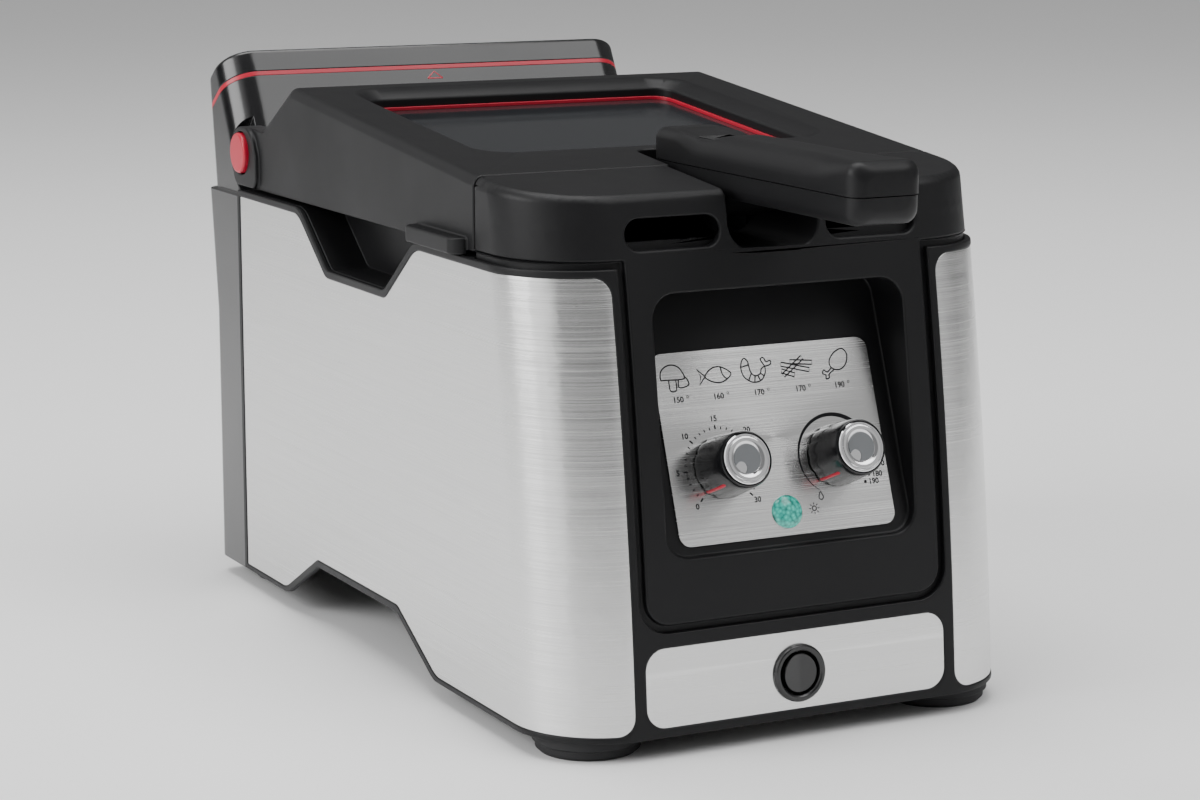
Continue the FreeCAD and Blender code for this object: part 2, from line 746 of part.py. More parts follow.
def make_lid_shell():
    wall = d.lid_wall
    outer = prism("x", lid_profile(0), -half_lid, half_lid)
    top_edges = [edge for edge in outer.Edges
                 if abs(abs(edge.CenterOfMass.x) - half_lid) < 0.01
                 and edge.BoundBox.ZMin > d.lid_back_level - 1]
    ridge = [edge for edge in outer.Edges
             if edge.BoundBox.XLength > half_lid and abs(edge.CenterOfMass.y - d.lid_ridge) < 0.1]
    outer = outer.makeFillet(5.0, top_edges + ridge)
    inner = prism("x", [(x, z - (5 if z < d.lid_foot + 1 else 0), r) for x, z, r in lid_profile(-wall)],
                  -half_lid + wall, half_lid - wall)
    # frame that carries the glass, and walls round the handle's notch
    frame_block = prism("z", window_outline(3.0), -glass_floor, 5)
    frame_block.Placement = deck_frame
    half_notch = d.lid_notch_width / 2
    notch_rear = d.lid_notch_rear
    notch_walls = prism("z", rectangle(-half_notch - wall, -far, half_notch + wall, notch_rear + wall, 8.0),
                        d.lid_foot + NOTCH_RISE, d.deck_level + 20)
    cavity = inner.cut(frame_block).cut(notch_walls)
    shell = outer.cut(cavity)
    # outer cheeks that run back to the hinge ears
    y = d.hinge_reach
    z = d.hinge_level
    r = d.ear_radius
    cheek = prism("x", [(y - r - 7, d.lid_foot, 6), (y + r - 3, d.lid_foot, 7), (y + r, z, 0),
                        (y + r, z + r, r), (y - r, z + r, r), (y - r - 7, z, 0)],
                  ear_inner, half_lid + d.ear_proud)
    arm_front = d.lid_back - ARM_REACH
    arm = prism("x", [(arm_front, d.lid_foot, 0), (y, d.lid_foot, 0), (y, z + r, 0),
                      (d.lid_back - 4, d.lid_back_level + 1.5, 0), (arm_front, d.lid_back_level - 2, 0)],
                ear_inner, half_lid)
    arm = arm.common(below_deck)
    rim = 0.6
    recess = rod("x", d.button_radius + rim, far, half_lid + d.ear_proud - d.button_thickness - 1, y, z)
    bore = rod("x", d.pin_radius + d.running_gap, far, half_lid - 30, y, z)
    ears = both_sides(cheek.fuse(arm).cut(recess).cut(bore))
    shell = shell.fuse(ears)
    dish_top = outline([(a, b, r_) for a, b, r_ in window_outline(1.6)], lambda p: Vector(p.x, p.y, 0.9))
    dish_floor = outline(window_outline(-d.window_bevel), lambda p: Vector(p.x, p.y, -d.window_bevel_depth))
    dish = Part.makeLoft([dish_top, dish_floor], True, True)
    well = prism("z", window_outline(-d.window_bevel), -far / 4, -d.window_bevel_depth + 0.01)
    seat = prism("z", window_outline(-d.window_bevel + 3), -glass_floor - 20, -d.glass_depth)
    for tool in (dish, well, seat):
        tool.Placement = deck_frame
        shell = shell.cut(tool)
    notch = prism("z", rectangle(-half_notch, -far, half_notch, notch_rear, 0.0, 6.0),
                  d.lid_foot - 1, d.deck_level + 20)
    shell = shell.cut(notch)
    # finger tabs at the lower front of both sides
    tab = prism("z", [(half_lid - wall, TAB_FRONT, 0), (half_lid + TAB_PROUD, TAB_FRONT, TAB_PROUD - 0.5),
                      (half_lid + TAB_PROUD, TAB_REAR, TAB_PROUD - 2), (half_lid - wall, TAB_REAR, 0)],
                d.frame_top + 0.6, d.lid_foot + 5.4)
    notched = prism("z", rectangle(0, TAB_FRONT - 5, half_lid, TAB_REAR + 5), d.frame_top, d.lid_foot)
    tab = tab.cut(notched)
    return shell.fuse(both_sides(tab)).removeSplitter()


def make_lid_pieces():
    feature("lid_shell", make_lid_shell())
    glass = prism("z", window_outline(-d.window_bevel + 2.8), -glass_floor, -d.glass_depth)
    feature("window_glass", glass, deck_frame)
    ring = prism("z", window_outline(-d.window_bevel), -d.glass_depth, -d.glass_depth + 1.6).cut(
        prism("z", window_outline(-d.window_bevel - 1.4), -far, far))
    feature("window_trim", ring, deck_frame)
    # inner pan under the glass frame
    skin = 1.2
    half = ring_half
    front = -d.seam_reach + d.seam_gap + d.lid_wall + 0.5
    rear = d.lid_back - d.lid_wall - 0.5
    pan_foot = d.lid_foot + 2.5
    bend = d.lid_ridge + 14

    def pan(grow):
        over = glass_floor * 1.005 - grow
        return [(front - grow, pan_foot - 5 * (grow < 0), 0), (rear + grow, pan_foot - 5 * (grow < 0), 0),
                (rear + grow, d.lid_back_level - 4 + grow, 0), (bend, deck_at(bend) - over, 0),
                (front - grow, deck_at(front) - over, 0)]

    shell = prism("x", pan(0), -half, half).cut(prism("x", pan(-skin), -half + skin, half - skin))
    window = prism("z", window_outline(-d.window_bevel - 2), -40, 10)
    window.Placement = deck_frame
    half_notch = d.lid_notch_width / 2 + d.lid_wall + 0.5
    notch = prism("z", rectangle(-half_notch, -far, half_notch, d.lid_notch_rear + d.lid_wall + 0.5),
                  -far, far)
    arm_side = rectangle(ear_inner - ARM_GAP, d.lid_back - ARM_REACH - ARM_GAP, far, far)
    arm_room = both_sides(prism("z", arm_side, -far, far))
    feature("lid_inner_pan", shell.cut(window).cut(notch).cut(arm_room))
    seal_foot = d.frame_top + 1.6
    seal = prism("z", rectangle(-half - 1, front - 0.3, half + 1, rear + 0.3, 14.0), seal_foot, pan_foot).cut(
        prism("z", rectangle(-half + 3, front + 3, half - 3, rear - 3, 10.0), -far, far))
    feature("lid_seal", seal.cut(notch).cut(arm_room))


def make_hinge():
    outer_x = half_lid + d.ear_proud
    y = d.hinge_reach
    z = d.hinge_level
    for side, name in ((-1, "left"), (1, "right")):
        start = side * (ear_inner - 10)
        reach = 10 + d.ear_thickness - d.button_thickness - 1.5
        pin = cylinder(name + "_pin_rod", "pin_radius", str(reach))
        pin.Placement = Placement(Vector(start, y, z), Rotation(Vector(0, 0, 1), Vector(side, 0, 0)))
        sub_part(pin, name + "_hinge_pin")
        face = side * (outer_x + 2.2)
        place = Placement(Vector(face, y, z), Rotation(Vector(0, 0, 1), Vector(side, 0, 0)))
        button = new_body(name + "_release_button", place)
        profile = sketch_on(button, name + "_button_profile", "XZ_Plane")
        draw_polygon(profile, [("0", "-button_thickness"), ("button_radius", "-button_thickness"),
                               ("button_radius", "-0.8"), ("button_radius - 0.8", "0"), ("0", "0")])
        button.Tip = revolve(button, profile)


# ---------------------------------------------------------------- tower

def tower_profile(grow=0.0):
    front = d.tower_front - grow
    rear = d.tower_rear + grow
    return [(front, d.frame_top, 0), (crest_y - grow, d.tower_crest, 0),
            (d.tower_flare + grow, d.tower_rear_top, 0), (rear, d.tower_flare_level, 30.0),
            (rear, d.frame_foot, 0), (d.skin_rear, d.frame_foot, 0), (d.skin_rear, d.frame_top, 0)]


def crest_slab(top, bottom):
    slab = Part.makeBox(2 * far, 2 * far, top - bottom, Vector(-far, -far, bottom))
    slab.Placement = crest_frame
    return slab


def crop_above(level):
    return Part.makeBox(2 * far, 2 * far, far, Vector(-far, -far, level))


def side_edges(solid, half, behind):
    """Edges along the two flanks of a solid that lie wholly behind a Y."""
    return [edge for edge in solid.Edges
            if edge.BoundBox.XLength < 0.01 and abs(abs(edge.CenterOfMass.x) - half) < 0.01
            and edge.BoundBox.YMin > behind and edge.BoundBox.ZLength > 2
            and not (edge.BoundBox.YLength > 12 and edge.BoundBox.ZLength < 0.8 * edge.BoundBox.YLength)]


back_wall = d.tower_wall + 2
inner_half = d.tower_width / 2 - d.tower_wall - 1
filter_top = -d.cap_depth - d.band_depth
filter_foot = filter_top - d.filter_thickness


def make_tower():
    half = d.tower_width / 2
    wall = d.tower_wall
    upper = prism("x", tower_profile(), -half, half).common(crop_above(d.skin_top))
    lower = prism("x", tower_profile(), -half_body, half_body).cut(crop_above(d.skin_top))
    lower = lower.makeFillet(10.0, side_edges(lower, half_body, d.tower_rear - 1))
    upper = upper.makeFillet(10.0, side_edges(upper, half, d.tower_rear - 1))
    front_corners = [edge for edge in side_edges(upper, half, d.tower_front - 1)
                     if edge.BoundBox.YLength > 20 and edge.CenterOfMass.y < crest_y]
    upper = upper.makeFillet(d.tower_radius, front_corners)
    solid = upper.fuse(lower)
    cavity = tower_cavity(wall)
    hinge_y = d.hinge_reach
    hinge_z = d.hinge_level
    hinge_room = rod("x", d.ear_radius + 9, far, ear_inner - EAR_GAP, hinge_y, hinge_z)
    boss_start = ear_inner - BOSS_DEPTH
    boss = prism("x", rectangle(d.tower_front + 1, d.frame_top, hinge_y + d.ear_radius + 3,
                                hinge_z + d.ear_radius + 3), boss_start, ear_inner - EAR_GAP)
    pin_hole = rod("x", d.pin_radius, 20, ear_inner - PIN_DEPTH, hinge_y, hinge_z)
    boss = boss.fuse(rod("x", d.pin_radius + 5, BOSS_DEPTH - EAR_GAP, boss_start, hinge_y, hinge_z))
    room_wall = rod("x", d.ear_radius + 11, far, ear_inner - EAR_GAP - wall, hinge_y, hinge_z).common(solid)
    shelf = crest_slab(filter_foot - 0.5, filter_foot - 3).common(solid)
    shelf_hole = prism("z", rectangle(-inner_half + 14, 11, inner_half - 14, 23, 3), -80, 0)
    shelf_hole.Placement = crest_frame
    shell = solid.cut(cavity).fuse([shelf.cut(shelf_hole), both_sides(room_wall),
                                    both_sides(boss.common(solid))])
    shell = shell.cut(both_sides(hinge_room)).cut(both_sides(pin_hole))
    housing = shell.common(crest_slab(filter_top, -far))
    rear_open = cover_prism(0.0, d.tower_rear - back_wall - 1, d.tower_rear + 1)
    tray_gap = prism("z", rectangle(-inner_half + 4, d.skin_rear - 1, inner_half - 4, d.skin_rear + wall + 1),
                     d.frame_foot - 1, d.tub_foot)
    gland_hole = rod("y", GLAND_RADIUS, 20, GLAND_SIDE, d.tower_rear - 10, GLAND_LEVEL)
    feature("tower_housing", housing.cut(rear_open).cut(tray_gap).cut(gland_hole))
    band = solid.cut(cavity).common(crest_slab(-d.cap_depth, filter_top))
    feature("tower_band", band)
    make_tower_cap(solid.common(crest_slab(20, -d.cap_depth)), cavity)


def tower_cavity(wall):
    """The hollow inside the tower, rounded at its two front corners."""
    cavity = prism("x", [(d.tower_front + wall + 1.2, d.frame_top + wall, 0),
                         (crest_y + wall + 1.2, d.tower_crest + 2, 0),
                         (d.tower_flare - back_wall, d.tower_crest + 2, 0),
                         (d.tower_flare - back_wall, d.tower_rear_top, 0),
                         (d.tower_rear - back_wall, d.tower_flare_level, 0),
                         (d.tower_rear - back_wall, d.frame_foot - 1, 0),
                         (d.skin_rear + wall, d.frame_foot - 1, 0),
                         (d.skin_rear + wall, d.frame_top + wall, 0)],
                   -inner_half, inner_half)
    corners = [edge for edge in cavity.Edges
               if edge.BoundBox.XLength < 0.01 and edge.BoundBox.YLength > 20 and edge.BoundBox.ZLength > 50]
    return cavity.makeFillet(d.tower_radius - wall - 1, corners)


def make_tower_cap(cap, cavity):
    """The lift-off cap: rounded rim, hollow underside and a row of vents."""
    crest_edges = [edge for edge in cap.Edges if edge.CenterOfMass.z > d.tower_rear_top - 6
                   and crest_frame.inverse().multVec(edge.CenterOfMass).z > -0.2]
    cap = cap.makeFillet(2.5, crest_edges)
    cap = cap.cut(cavity.common(crest_slab(-2.5, -far / 8)))
    pitch = 9.0
    half_vent = 2.2
    count = int((2 * inner_half - 24) / pitch)
    vents = []
    for index in range(count):
        x = (index - (count - 1) / 2) * pitch
        vent = prism("z", rectangle(x - half_vent, 9, x + half_vent, 26, half_vent - 0.1), -10, 10)
        vent.Placement = crest_frame
        vents.append(vent)
    feature("tower_cap", cap.cut(Part.makeCompound(vents)))


def cover_prism(inset, start, stop):
    """The rear opening's outline, set in by an inset."""
    outline_points = rectangle(-COVER_HALF + inset, COVER_FOOT + inset, COVER_HALF - inset,
                               COVER_TOP - inset, COVER_RADIUS - inset)
    return prism("y", outline_points, start, stop)


def make_rear_cover():
    cover = cover_prism(0.3, d.tower_rear - d.tower_wall, d.tower_rear)
    half_slot = 60
    height = 4
    for index in range(7):
        level = COVER_FOOT + 22 + 10 * index
        cover = cover.cut(prism("y", rectangle(-half_slot, level, half_slot, level + height, 1.9), 0, far))
    feature("rear_cover", cover)


def make_filters():
    block = rectangle(-inner_half + 8, 7.5, inner_half - 8, 27, 8)
    grease_depth = 5
    feature("carbon_filter", prism("z", block, filter_foot, filter_top - grease_depth), crest_frame)
    feature("grease_filter", prism("z", block, filter_top - grease_depth, filter_top - 0.5), crest_frame)


def make_gland():
    rear = d.tower_rear
    gland = rod("y", GLAND_RADIUS - 0.1, 8, GLAND_SIDE, rear - 6, GLAND_LEVEL).fuse(
        rod("y", GLAND_RADIUS + 2, 2, GLAND_SIDE, rear, GLAND_LEVEL))
    feature("cord_gland", gland.cut(rod("y", 3.6, 20, GLAND_SIDE, rear - 8, GLAND_LEVEL)))


# ---------------------------------------------------------------- base, tub, bowl and heater

def make_base():
    body = new_body("base_tray", Placement(Vector(0, 0, d.tub_foot - 3), Rotation()))
    floor = sketch_on(body, "tray_outline")
    side = "body_width / 2 - frame_wall"
    tail = f"tower_width / 2 - tower_wall - 1 - {TAIL_CLEAR}"
    front, step, rear = "-front_reach + 22", "skin_rear - frame_wall", "tower_rear - tower_wall - 3"
    draw_polygon(floor, [
        (f"-({side})", front), (side, front), (side, step), (tail, step),
        (tail, rear), (f"-({tail})", rear), (f"-({tail})", step), (f"-({side})", step)])
    base = pad(body, floor, "3")
    round_edges(body, base, lambda edge: is_upright(edge) and edge.CenterOfMass.y < 0, "24")
    vents = sketch_on(body, "tray_vents")
    for index in range(9):
        offset = 18 * (index - 4)
        draw_rectangle(vents, "-60", f"{offset} - 3 + 20", "60", f"{offset} + 3 + 20")
    body.Tip = pocket(body, vents, "3", reverse=True)


def foot_places():
    """Name, size alias and centre of each of the four feet."""
    front = -d.front_reach + 6 + d.front_foot_radius
    rear = d.tower_rear - 15 - d.rear_foot_radius
    x_front = half_body - 6 - d.front_foot_radius
    x_rear = inner_half - FOOT_CLEAR - d.rear_foot_radius
    return [("front_left", "front_foot_radius", -x_front, front),
            ("front_right", "front_foot_radius", x_front, front),
            ("rear_left", "rear_foot_radius", -x_rear, rear),
            ("rear_right", "rear_foot_radius", x_rear, rear)]


def make_feet():
    screws = []
    for name, radius, x, y in foot_places():
        foot = new_body(name + "_foot", Placement(Vector(x, y, 0), Rotation()))
        profile = sketch_on(foot, name + "_foot_profile", "XZ_Plane")
        draw_polygon(profile, [("2.2", "3"), ("5", "3"), ("5", "0"), (f"{radius} - 3", "0"),
                               (f"{radius} - 1.5", "1.5"), (f"{radius} - 1.5", "4"), (radius, "5"),
                               (radius, "foot_height"), ("2.2", "foot_height")])
        foot.Tip = revolve(foot, profile)
        post = cylinder(name + "_post_rod", "9", "tub_foot - 3 - foot_height")
        hole = cylinder(name + "_post_hole", "2", "20", ("0", "0", "-1"))
        sub_part(cut(name + "_post_cut", post, hole), name + "_post",
                 Placement(Vector(x, y, d.foot_height), Rotation()))
        thread = Part.makeCylinder(2, d.foot_height + 9, Vector(x, y, 3))
        screws.append(thread.fuse(Part.makeCylinder(4, 2.2, Vector(x, y, 0.8))))
    feature("foot_screws", Part.makeCompound(screws))


def open_box(half, front, rear, foot, top, radius, wall):
    """A thin box with rounded upright corners and no top."""
    outer = prism("z", rectangle(-half, front, half, rear, radius), foot, top)
    inner = prism("z", rectangle(-half + wall, front + wall, half - wall, rear - wall, radius - wall),
                  foot + wall, top + 1)
    return outer.cut(inner)


def make_inside():
    half_bowl = d.bowl_width / 2
    half_tub = half_bowl + d.tub_gap
    tub = open_box(half_tub, d.bowl_front - d.tub_gap, d.bowl_rear + d.tub_gap, d.tub_foot,
                   d.frame_top, d.bowl_radius + 3, d.tub_wall)
    feature("heat_shield", tub)
    bowl = open_box(half_bowl, d.bowl_front, d.bowl_rear, d.bowl_foot, d.frame_top + 0.2,
                    d.bowl_radius, d.bowl_wall)
    lip = d.bowl_flange
    flange = prism("z", rectangle(-half_bowl - lip, d.bowl_front - lip, half_bowl + lip, d.bowl_rear + lip,
                                  d.bowl_radius + lip), d.frame_top, d.frame_top + 1.2)
    flange = flange.cut(prism("z", rectangle(-half_bowl + d.bowl_wall, d.bowl_front + d.bowl_wall,
                                             half_bowl - d.bowl_wall, d.bowl_rear - d.bowl_wall,
                                             d.bowl_radius - d.bowl_wall), 0, far))
    feature("oil_bowl", bowl.fuse(flange).removeSplitter())
    # heating loop clamped under the bowl
    radius = d.element_radius
    level = d.bowl_foot - radius - 0.2
    inset = 26
    half_loop = half_bowl - inset
    front = d.bowl_front + inset
    rear = d.bowl_rear - inset
    path = outline(rectangle(-half_loop, front, half_loop, rear, inset - 2),
                   lambda p: Vector(p.x, p.y, level))
    ring = Part.Wire(Part.Circle(Vector(0, front, level), Vector(1, 0, 0), radius).toShape())
    loop = path.makePipeShell([ring], True, False)
    feature("heating_element", loop)
    clips = []
    for y in (front, rear):
        bar = Part.makeBox(24, 2 * radius + 4, level - d.tub_foot - d.tub_wall,
                           Vector(-12, y - radius - 2, d.tub_foot + d.tub_wall))
        clips.append(bar)
    clip_set = Part.makeCompound([bar.cut(loop) for bar in clips])
    feature("element_clips", clip_set)
    sensor = cylinder("sensor_can", "6", "bowl_foot - tub_foot - tub_wall",
                      ("0", "30", "tub_foot + tub_wall"))
    sub_part(sensor, "bowl_temperature_sensor")
    block = box("terminal_body", ("50", "22", "26"), ("-25", "bowl_front - tub_gap - 40", "tub_foot"))
    sub_part(block, "terminal_block")


# ---------------------------------------------------------------- basket and handle

def make_basket():
    half = d.basket_width / 2
    tub = open_box(half, d.basket_front, d.basket_rear, d.basket_foot, d.basket_top, 20.0, d.basket_wall)
    feature("basket_mesh", tub)
    radius = d.rim_wire
    level = d.basket_top + radius
    path = outline(rectangle(-half + 1, d.basket_front + 1, half - 1, d.basket_rear - 1, 19.0),
                   lambda p: Vector(p.x, p.y, level))
    ring = Part.Wire(Part.Circle(Vector(0, d.basket_front + 1, level), Vector(1, 0, 0), radius).toShape())
    rim = path.makePipeShell([ring], True, False)
    half_tongue = d.tongue_width / 2
    y = -d.pivot_reach
    z = d.pivot_level
    feature("basket_rim", rim)
    tongue = prism("x", [(y - 5, z - 8, 0), (y - 5, z + 5, 4.9), (y + 5, z + 5, 4.9), (y + 6, z - 12, 0),
                         (y + 8, d.basket_top - 30, 0), (d.basket_front, d.basket_top - 30, 0),
                         (d.basket_front, d.basket_top - 34, 0), (y + 2, d.basket_top - 34, 0),
                         (y - 1, d.frame_top + 6, 0)],
                   -half_tongue, half_tongue)
    hole = rod("x", d.pivot_radius, far, -far / 2, y, z)
    feature("basket_bracket", tongue.cut(hole).cut(rim))
    half_pin = d.handle_width / 2 - 3
    feature("handle_pivot_pin", rod("x", d.pivot_radius, 2 * half_pin, -half_pin, y, z))


def make_handle():
    half = d.handle_width / 2
    tip = -d.handle_tip
    root = d.handle_root
    top = d.handle_top
    body = prism("y", rectangle(-half, d.handle_foot, half, top, 6.0, 5.0), tip, root)
    ends = prism("x", [(tip, d.handle_foot, 8), (root, d.handle_foot, 0), (root, top, 9), (tip, top, 7)],
                 -half, half)
    slim = half - 1.5
    swell = tip + 40
    plan = prism("z", [(-slim, tip, 9), (slim, tip, 9), (half, swell, 0), (slim, root, 5),
                       (-slim, root, 5), (-half, swell, 0)], 0, far)
    bar = body.common(ends).common(plan)
    stem_top = d.handle_split + 1
    stem = prism("y", rectangle(-half + 1, d.root_foot, half - 1, stem_top, 8.0, 0.0), d.root_front, root)
    stem_side = prism("x", [(d.root_front, d.root_foot, 8), (root, d.root_foot, 5), (root, stem_top, 0),
                            (d.root_front, stem_top, 0)], -half, half)
    bar = bar.fuse(stem.common(stem_side).common(plan))
    y = -d.pivot_reach
    z = d.pivot_level
    slot_half = d.tongue_width / 2 + 0.4
    slot = prism("x", rectangle(y - 8, d.root_foot - 5, y + far / 4, z + 8), -slot_half, slot_half)
    half_bore = half - 2.8
    bore = rod("x", d.pivot_radius + d.running_gap, 2 * half_bore, -half_bore, y, z)
    bar = bar.cut(slot).cut(bore)
    # shallow thumb dip in the top, with the pocket of the sliding catch
    slide_front = d.slide_rear - d.slide_length
    dip_radius = 60
    dip_depth = 3.5
    dip_half = 9.5
    dip_middle = (d.slide_rear + slide_front) / 2 - 3
    dip = rod("x", dip_radius, far, -far / 2, dip_middle, top + dip_radius - dip_depth)
    dip = dip.common(prism("z", rectangle(-dip_half, -far, dip_half, 0, 0), 0, far))
    bar = bar.cut(dip)
    slide_half = d.slide_width / 2
    travel = 6.0
    gap = 0.3
    well = prism("z", rectangle(-slide_half - gap, slide_front - gap, slide_half + gap,
                                d.slide_rear + travel + gap, 2.0), top - 9, top + 5)
    bar = bar.cut(well)
    wall = 4
    hollow = prism("z", rectangle(-half + wall, tip + 14, half - wall, d.root_front - wall, 6.0),
                   d.handle_foot + 3, top - wall)
    bar = bar.cut(hollow)
    everywhere = rectangle(-far, -far, far, far)
    upper = bar.common(prism("z", everywhere, d.handle_split, far))
    lower = bar.common(prism("z", everywhere, 0, d.handle_split))
    feature("handle_upper_shell", upper)
    feature("handle_lower_shell", lower)
    slide = prism("z", rectangle(-slide_half, slide_front, slide_half, d.slide_rear, 1.8),
                  top - 9 + gap, top - 2.2)
    half_rib = 0.6
    for index in range(4):
        y_rib = d.slide_rear - 4 - 3 * index
        rib = rectangle(-slide_half + 2, y_rib - half_rib, slide_half - 2, y_rib + half_rib)
        slide = slide.cut(prism("z", rib, top - 3, top))
    feature("handle_slide_catch", slide)


feature("body_frame", make_body_frame())
make_skins()
feature("rim_ring", make_rim_ring())
feature("front_fascia", make_fascia())
make_control_panel()
make_knob("timer", -d.knob_spacing / 2)
make_knob("thermostat", d.knob_spacing / 2)
make_lamp()
make_switch()
make_lid_pieces()
make_hinge()
make_tower()
make_rear_cover()
make_filters()
make_gland()
make_base()
make_feet()
make_inside()
make_basket()
make_handle()

doc.recompute()
os.makedirs("parts", exist_ok=True)
for item in doc.Objects:
    if "Invalid" in item.State or "Error" in item.State:
        raise RuntimeError(f"{item.Name} failed: {item.State}")
for item in parts:
    if item.Shape.isNull() or not item.Shape.isValid():
        raise RuntimeError(f"{item.Label} has no valid shape")
for item in parts:
    item.Shape.exportStep(f"parts/{item.Label}.step")
    print(item.Label, round(item.Shape.Volume), len(item.Shape.Solids))
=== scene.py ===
import json
import math

import bmesh
import bpy
from mathutils import Matrix, Vector


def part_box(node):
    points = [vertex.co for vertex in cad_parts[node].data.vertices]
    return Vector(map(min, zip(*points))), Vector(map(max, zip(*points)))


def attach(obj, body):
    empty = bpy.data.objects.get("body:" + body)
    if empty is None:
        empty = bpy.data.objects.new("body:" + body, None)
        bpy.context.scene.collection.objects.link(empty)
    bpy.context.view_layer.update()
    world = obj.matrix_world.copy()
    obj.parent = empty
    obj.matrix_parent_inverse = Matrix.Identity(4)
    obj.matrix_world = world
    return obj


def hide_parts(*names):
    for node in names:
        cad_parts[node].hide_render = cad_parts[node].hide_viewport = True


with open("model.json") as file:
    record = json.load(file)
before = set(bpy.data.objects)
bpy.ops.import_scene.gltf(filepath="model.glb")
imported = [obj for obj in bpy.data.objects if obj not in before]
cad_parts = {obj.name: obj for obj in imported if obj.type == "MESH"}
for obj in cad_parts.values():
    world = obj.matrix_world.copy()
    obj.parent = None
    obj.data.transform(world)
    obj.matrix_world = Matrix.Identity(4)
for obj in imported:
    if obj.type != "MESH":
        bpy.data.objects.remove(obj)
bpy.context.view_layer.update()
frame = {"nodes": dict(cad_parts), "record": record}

# Looks of the deep fryer. Metres; +X to the right, -Y to the front, +Z up.

MM = 0.001
record = frame["record"]
slot_of = {row["node"]: row["material_slot"] for row in record["subparts"]}
body_holding = {node: body for body, nodes in record["behaviour"]["bodies"].items() for node in nodes}
joint_of = {joint["name"]: joint for joint in record["behaviour"]["joints"]}


# ---------------------------------------------------------------- materials

def add_node(material, kind, **inputs):
    """A shader node with some of its input sockets set."""
    node = material.node_tree.nodes.new(kind)
    for name, value in inputs.items():
        node.inputs[name.replace("_", " ")].default_value = value
    return node


def link(material, source, socket, target, name):
    material.node_tree.links.new(source.outputs[socket], target.inputs[name])


def new_material(name, color, roughness, metallic=0.0, **inputs):
    material = bpy.data.materials.new(name)
    material.use_nodes = True
    shader = material.node_tree.nodes["Principled BSDF"]
    shader.inputs["Base Color"].default_value = (*color, 1.0)
    shader.inputs["Roughness"].default_value = roughness
    shader.inputs["Metallic"].default_value = metallic
    for key, value in inputs.items():
        shader.inputs[key.replace("_", " ")].default_value = value
    return material, shader


def stretched_noise(material, scale, detail, stretch=(1.0, 1.0, 1.0)):
    """Noise over the object's own coordinates, drawn out along the axes whose stretch is small."""
    coordinates = add_node(material, "ShaderNodeTexCoord")
    mapping = add_node(material, "ShaderNodeMapping", Scale=stretch)
    noise = add_node(material, "ShaderNodeTexNoise", Scale=scale, Detail=detail)
    link(material, coordinates, "Object", mapping, "Vector")
    link(material, mapping, "Vector", noise, "Vector")
    return noise


def spread(material, noise, low, high):
    """Noise values mapped to a narrow range."""
    ramp = add_node(material, "ShaderNodeMapRange", From_Min=0.25, From_Max=0.75, To_Min=low, To_Max=high)
    link(material, noise, "Fac", ramp, "Value")
    return ramp


def relief(material, shader, noise, distance, strength=1.0):
    bump = add_node(material, "ShaderNodeBump", Distance=distance, Strength=strength)
    link(material, noise, "Fac", bump, "Height")
    link(material, bump, "Normal", shader, "Normal")


def moulded(name, color, roughness, grain=1500.0, depth=0.00004, **inputs):
    """Moulded plastic: fine mould texture, with slight wear in its gloss."""
    material, shader = new_material(name, color, roughness, **inputs)
    cloud = stretched_noise(material, 18.0, 3.0)
    link(material, spread(material, cloud, roughness - 0.05, roughness + 0.06), "Result", shader, "Roughness")
    relief(material, shader, stretched_noise(material, grain, 2.0), depth, 0.7)
    return material


def brushed(name, color, roughness, stretch, depth=0.00003, anisotropy=0.6):
    """Brushed metal: fine lines drawn out along the brushing, uneven in gloss and shade."""
    material, shader = new_material(name, color, roughness, 1.0, Anisotropic=anisotropy,
                                    Anisotropic_Rotation=0.25)
    lines = stretched_noise(material, 1.0, 4.0, stretch)
    link(material, spread(material, lines, roughness - 0.07, roughness + 0.09), "Result", shader, "Roughness")
    shade = add_node(material, "ShaderNodeMix", Factor=0.5)
    shade.data_type = "RGBA"
    shade.inputs[6].default_value = (*[value * 0.86 for value in color], 1.0)
    shade.inputs[7].default_value = (*[min(value * 1.08, 1.0) for value in color], 1.0)
    link(material, spread(material, lines, 0.0, 1.0), "Result", shade, "Factor")
    material.node_tree.links.new(shade.outputs[2], shader.inputs["Base Color"])
    tangent = add_node(material, "ShaderNodeTangent")
    tangent.direction_type = "RADIAL"
    tangent.axis = "Z"
    link(material, tangent, "Tangent", shader, "Tangent")
    relief(material, shader, lines, depth, 0.5)
    return material


def smooth_metal(name, color, roughness):
    """Polished or plain metal with faint handling marks."""
    material, shader = new_material(name, color, roughness, 1.0)
    marks = stretched_noise(material, 60.0, 5.0)
    link(material, spread(material, marks, roughness * 0.8, roughness * 1.3), "Result", shader, "Roughness")
    relief(material, shader, stretched_noise(material, 400.0, 2.0), 0.00001, 0.4)
    return material


def smoked_glass(name):
    material, shader = new_material(name, (0.055, 0.06, 0.068), 0.09, Transmission_Weight=0.7, IOR=1.42)
    haze = stretched_noise(material, 25.0, 4.0)
    link(material, spread(material, haze, 0.05, 0.16), "Result", shader, "Roughness")
    return material


def lit_lens(name):
    """Green translucent lens with a cloudy, faceted inside."""
    material, shader = new_material(name, (0.01, 0.33, 0.26), 0.16, Coat_Weight=0.6, Coat_Roughness=0.05,
                                    Emission_Strength=0.35)
    cells = add_node(material, "ShaderNodeTexVoronoi", Scale=620.0)
    coordinates = add_node(material, "ShaderNodeTexCoord")
    link(material, coordinates, "Object", cells, "Vector")
    ramp = material.node_tree.nodes.new("ShaderNodeValToRGB")
    ramp.color_ramp.elements[0].color = (0.06, 0.62, 0.50, 1.0)
    ramp.color_ramp.elements[1].color = (0.003, 0.11, 0.09, 1.0)
    link(material, cells, "Distance", ramp, "Fac")
    link(material, ramp, "Color", shader, "Base Color")
    link(material, ramp, "Color", shader, "Emission Color")
    return material


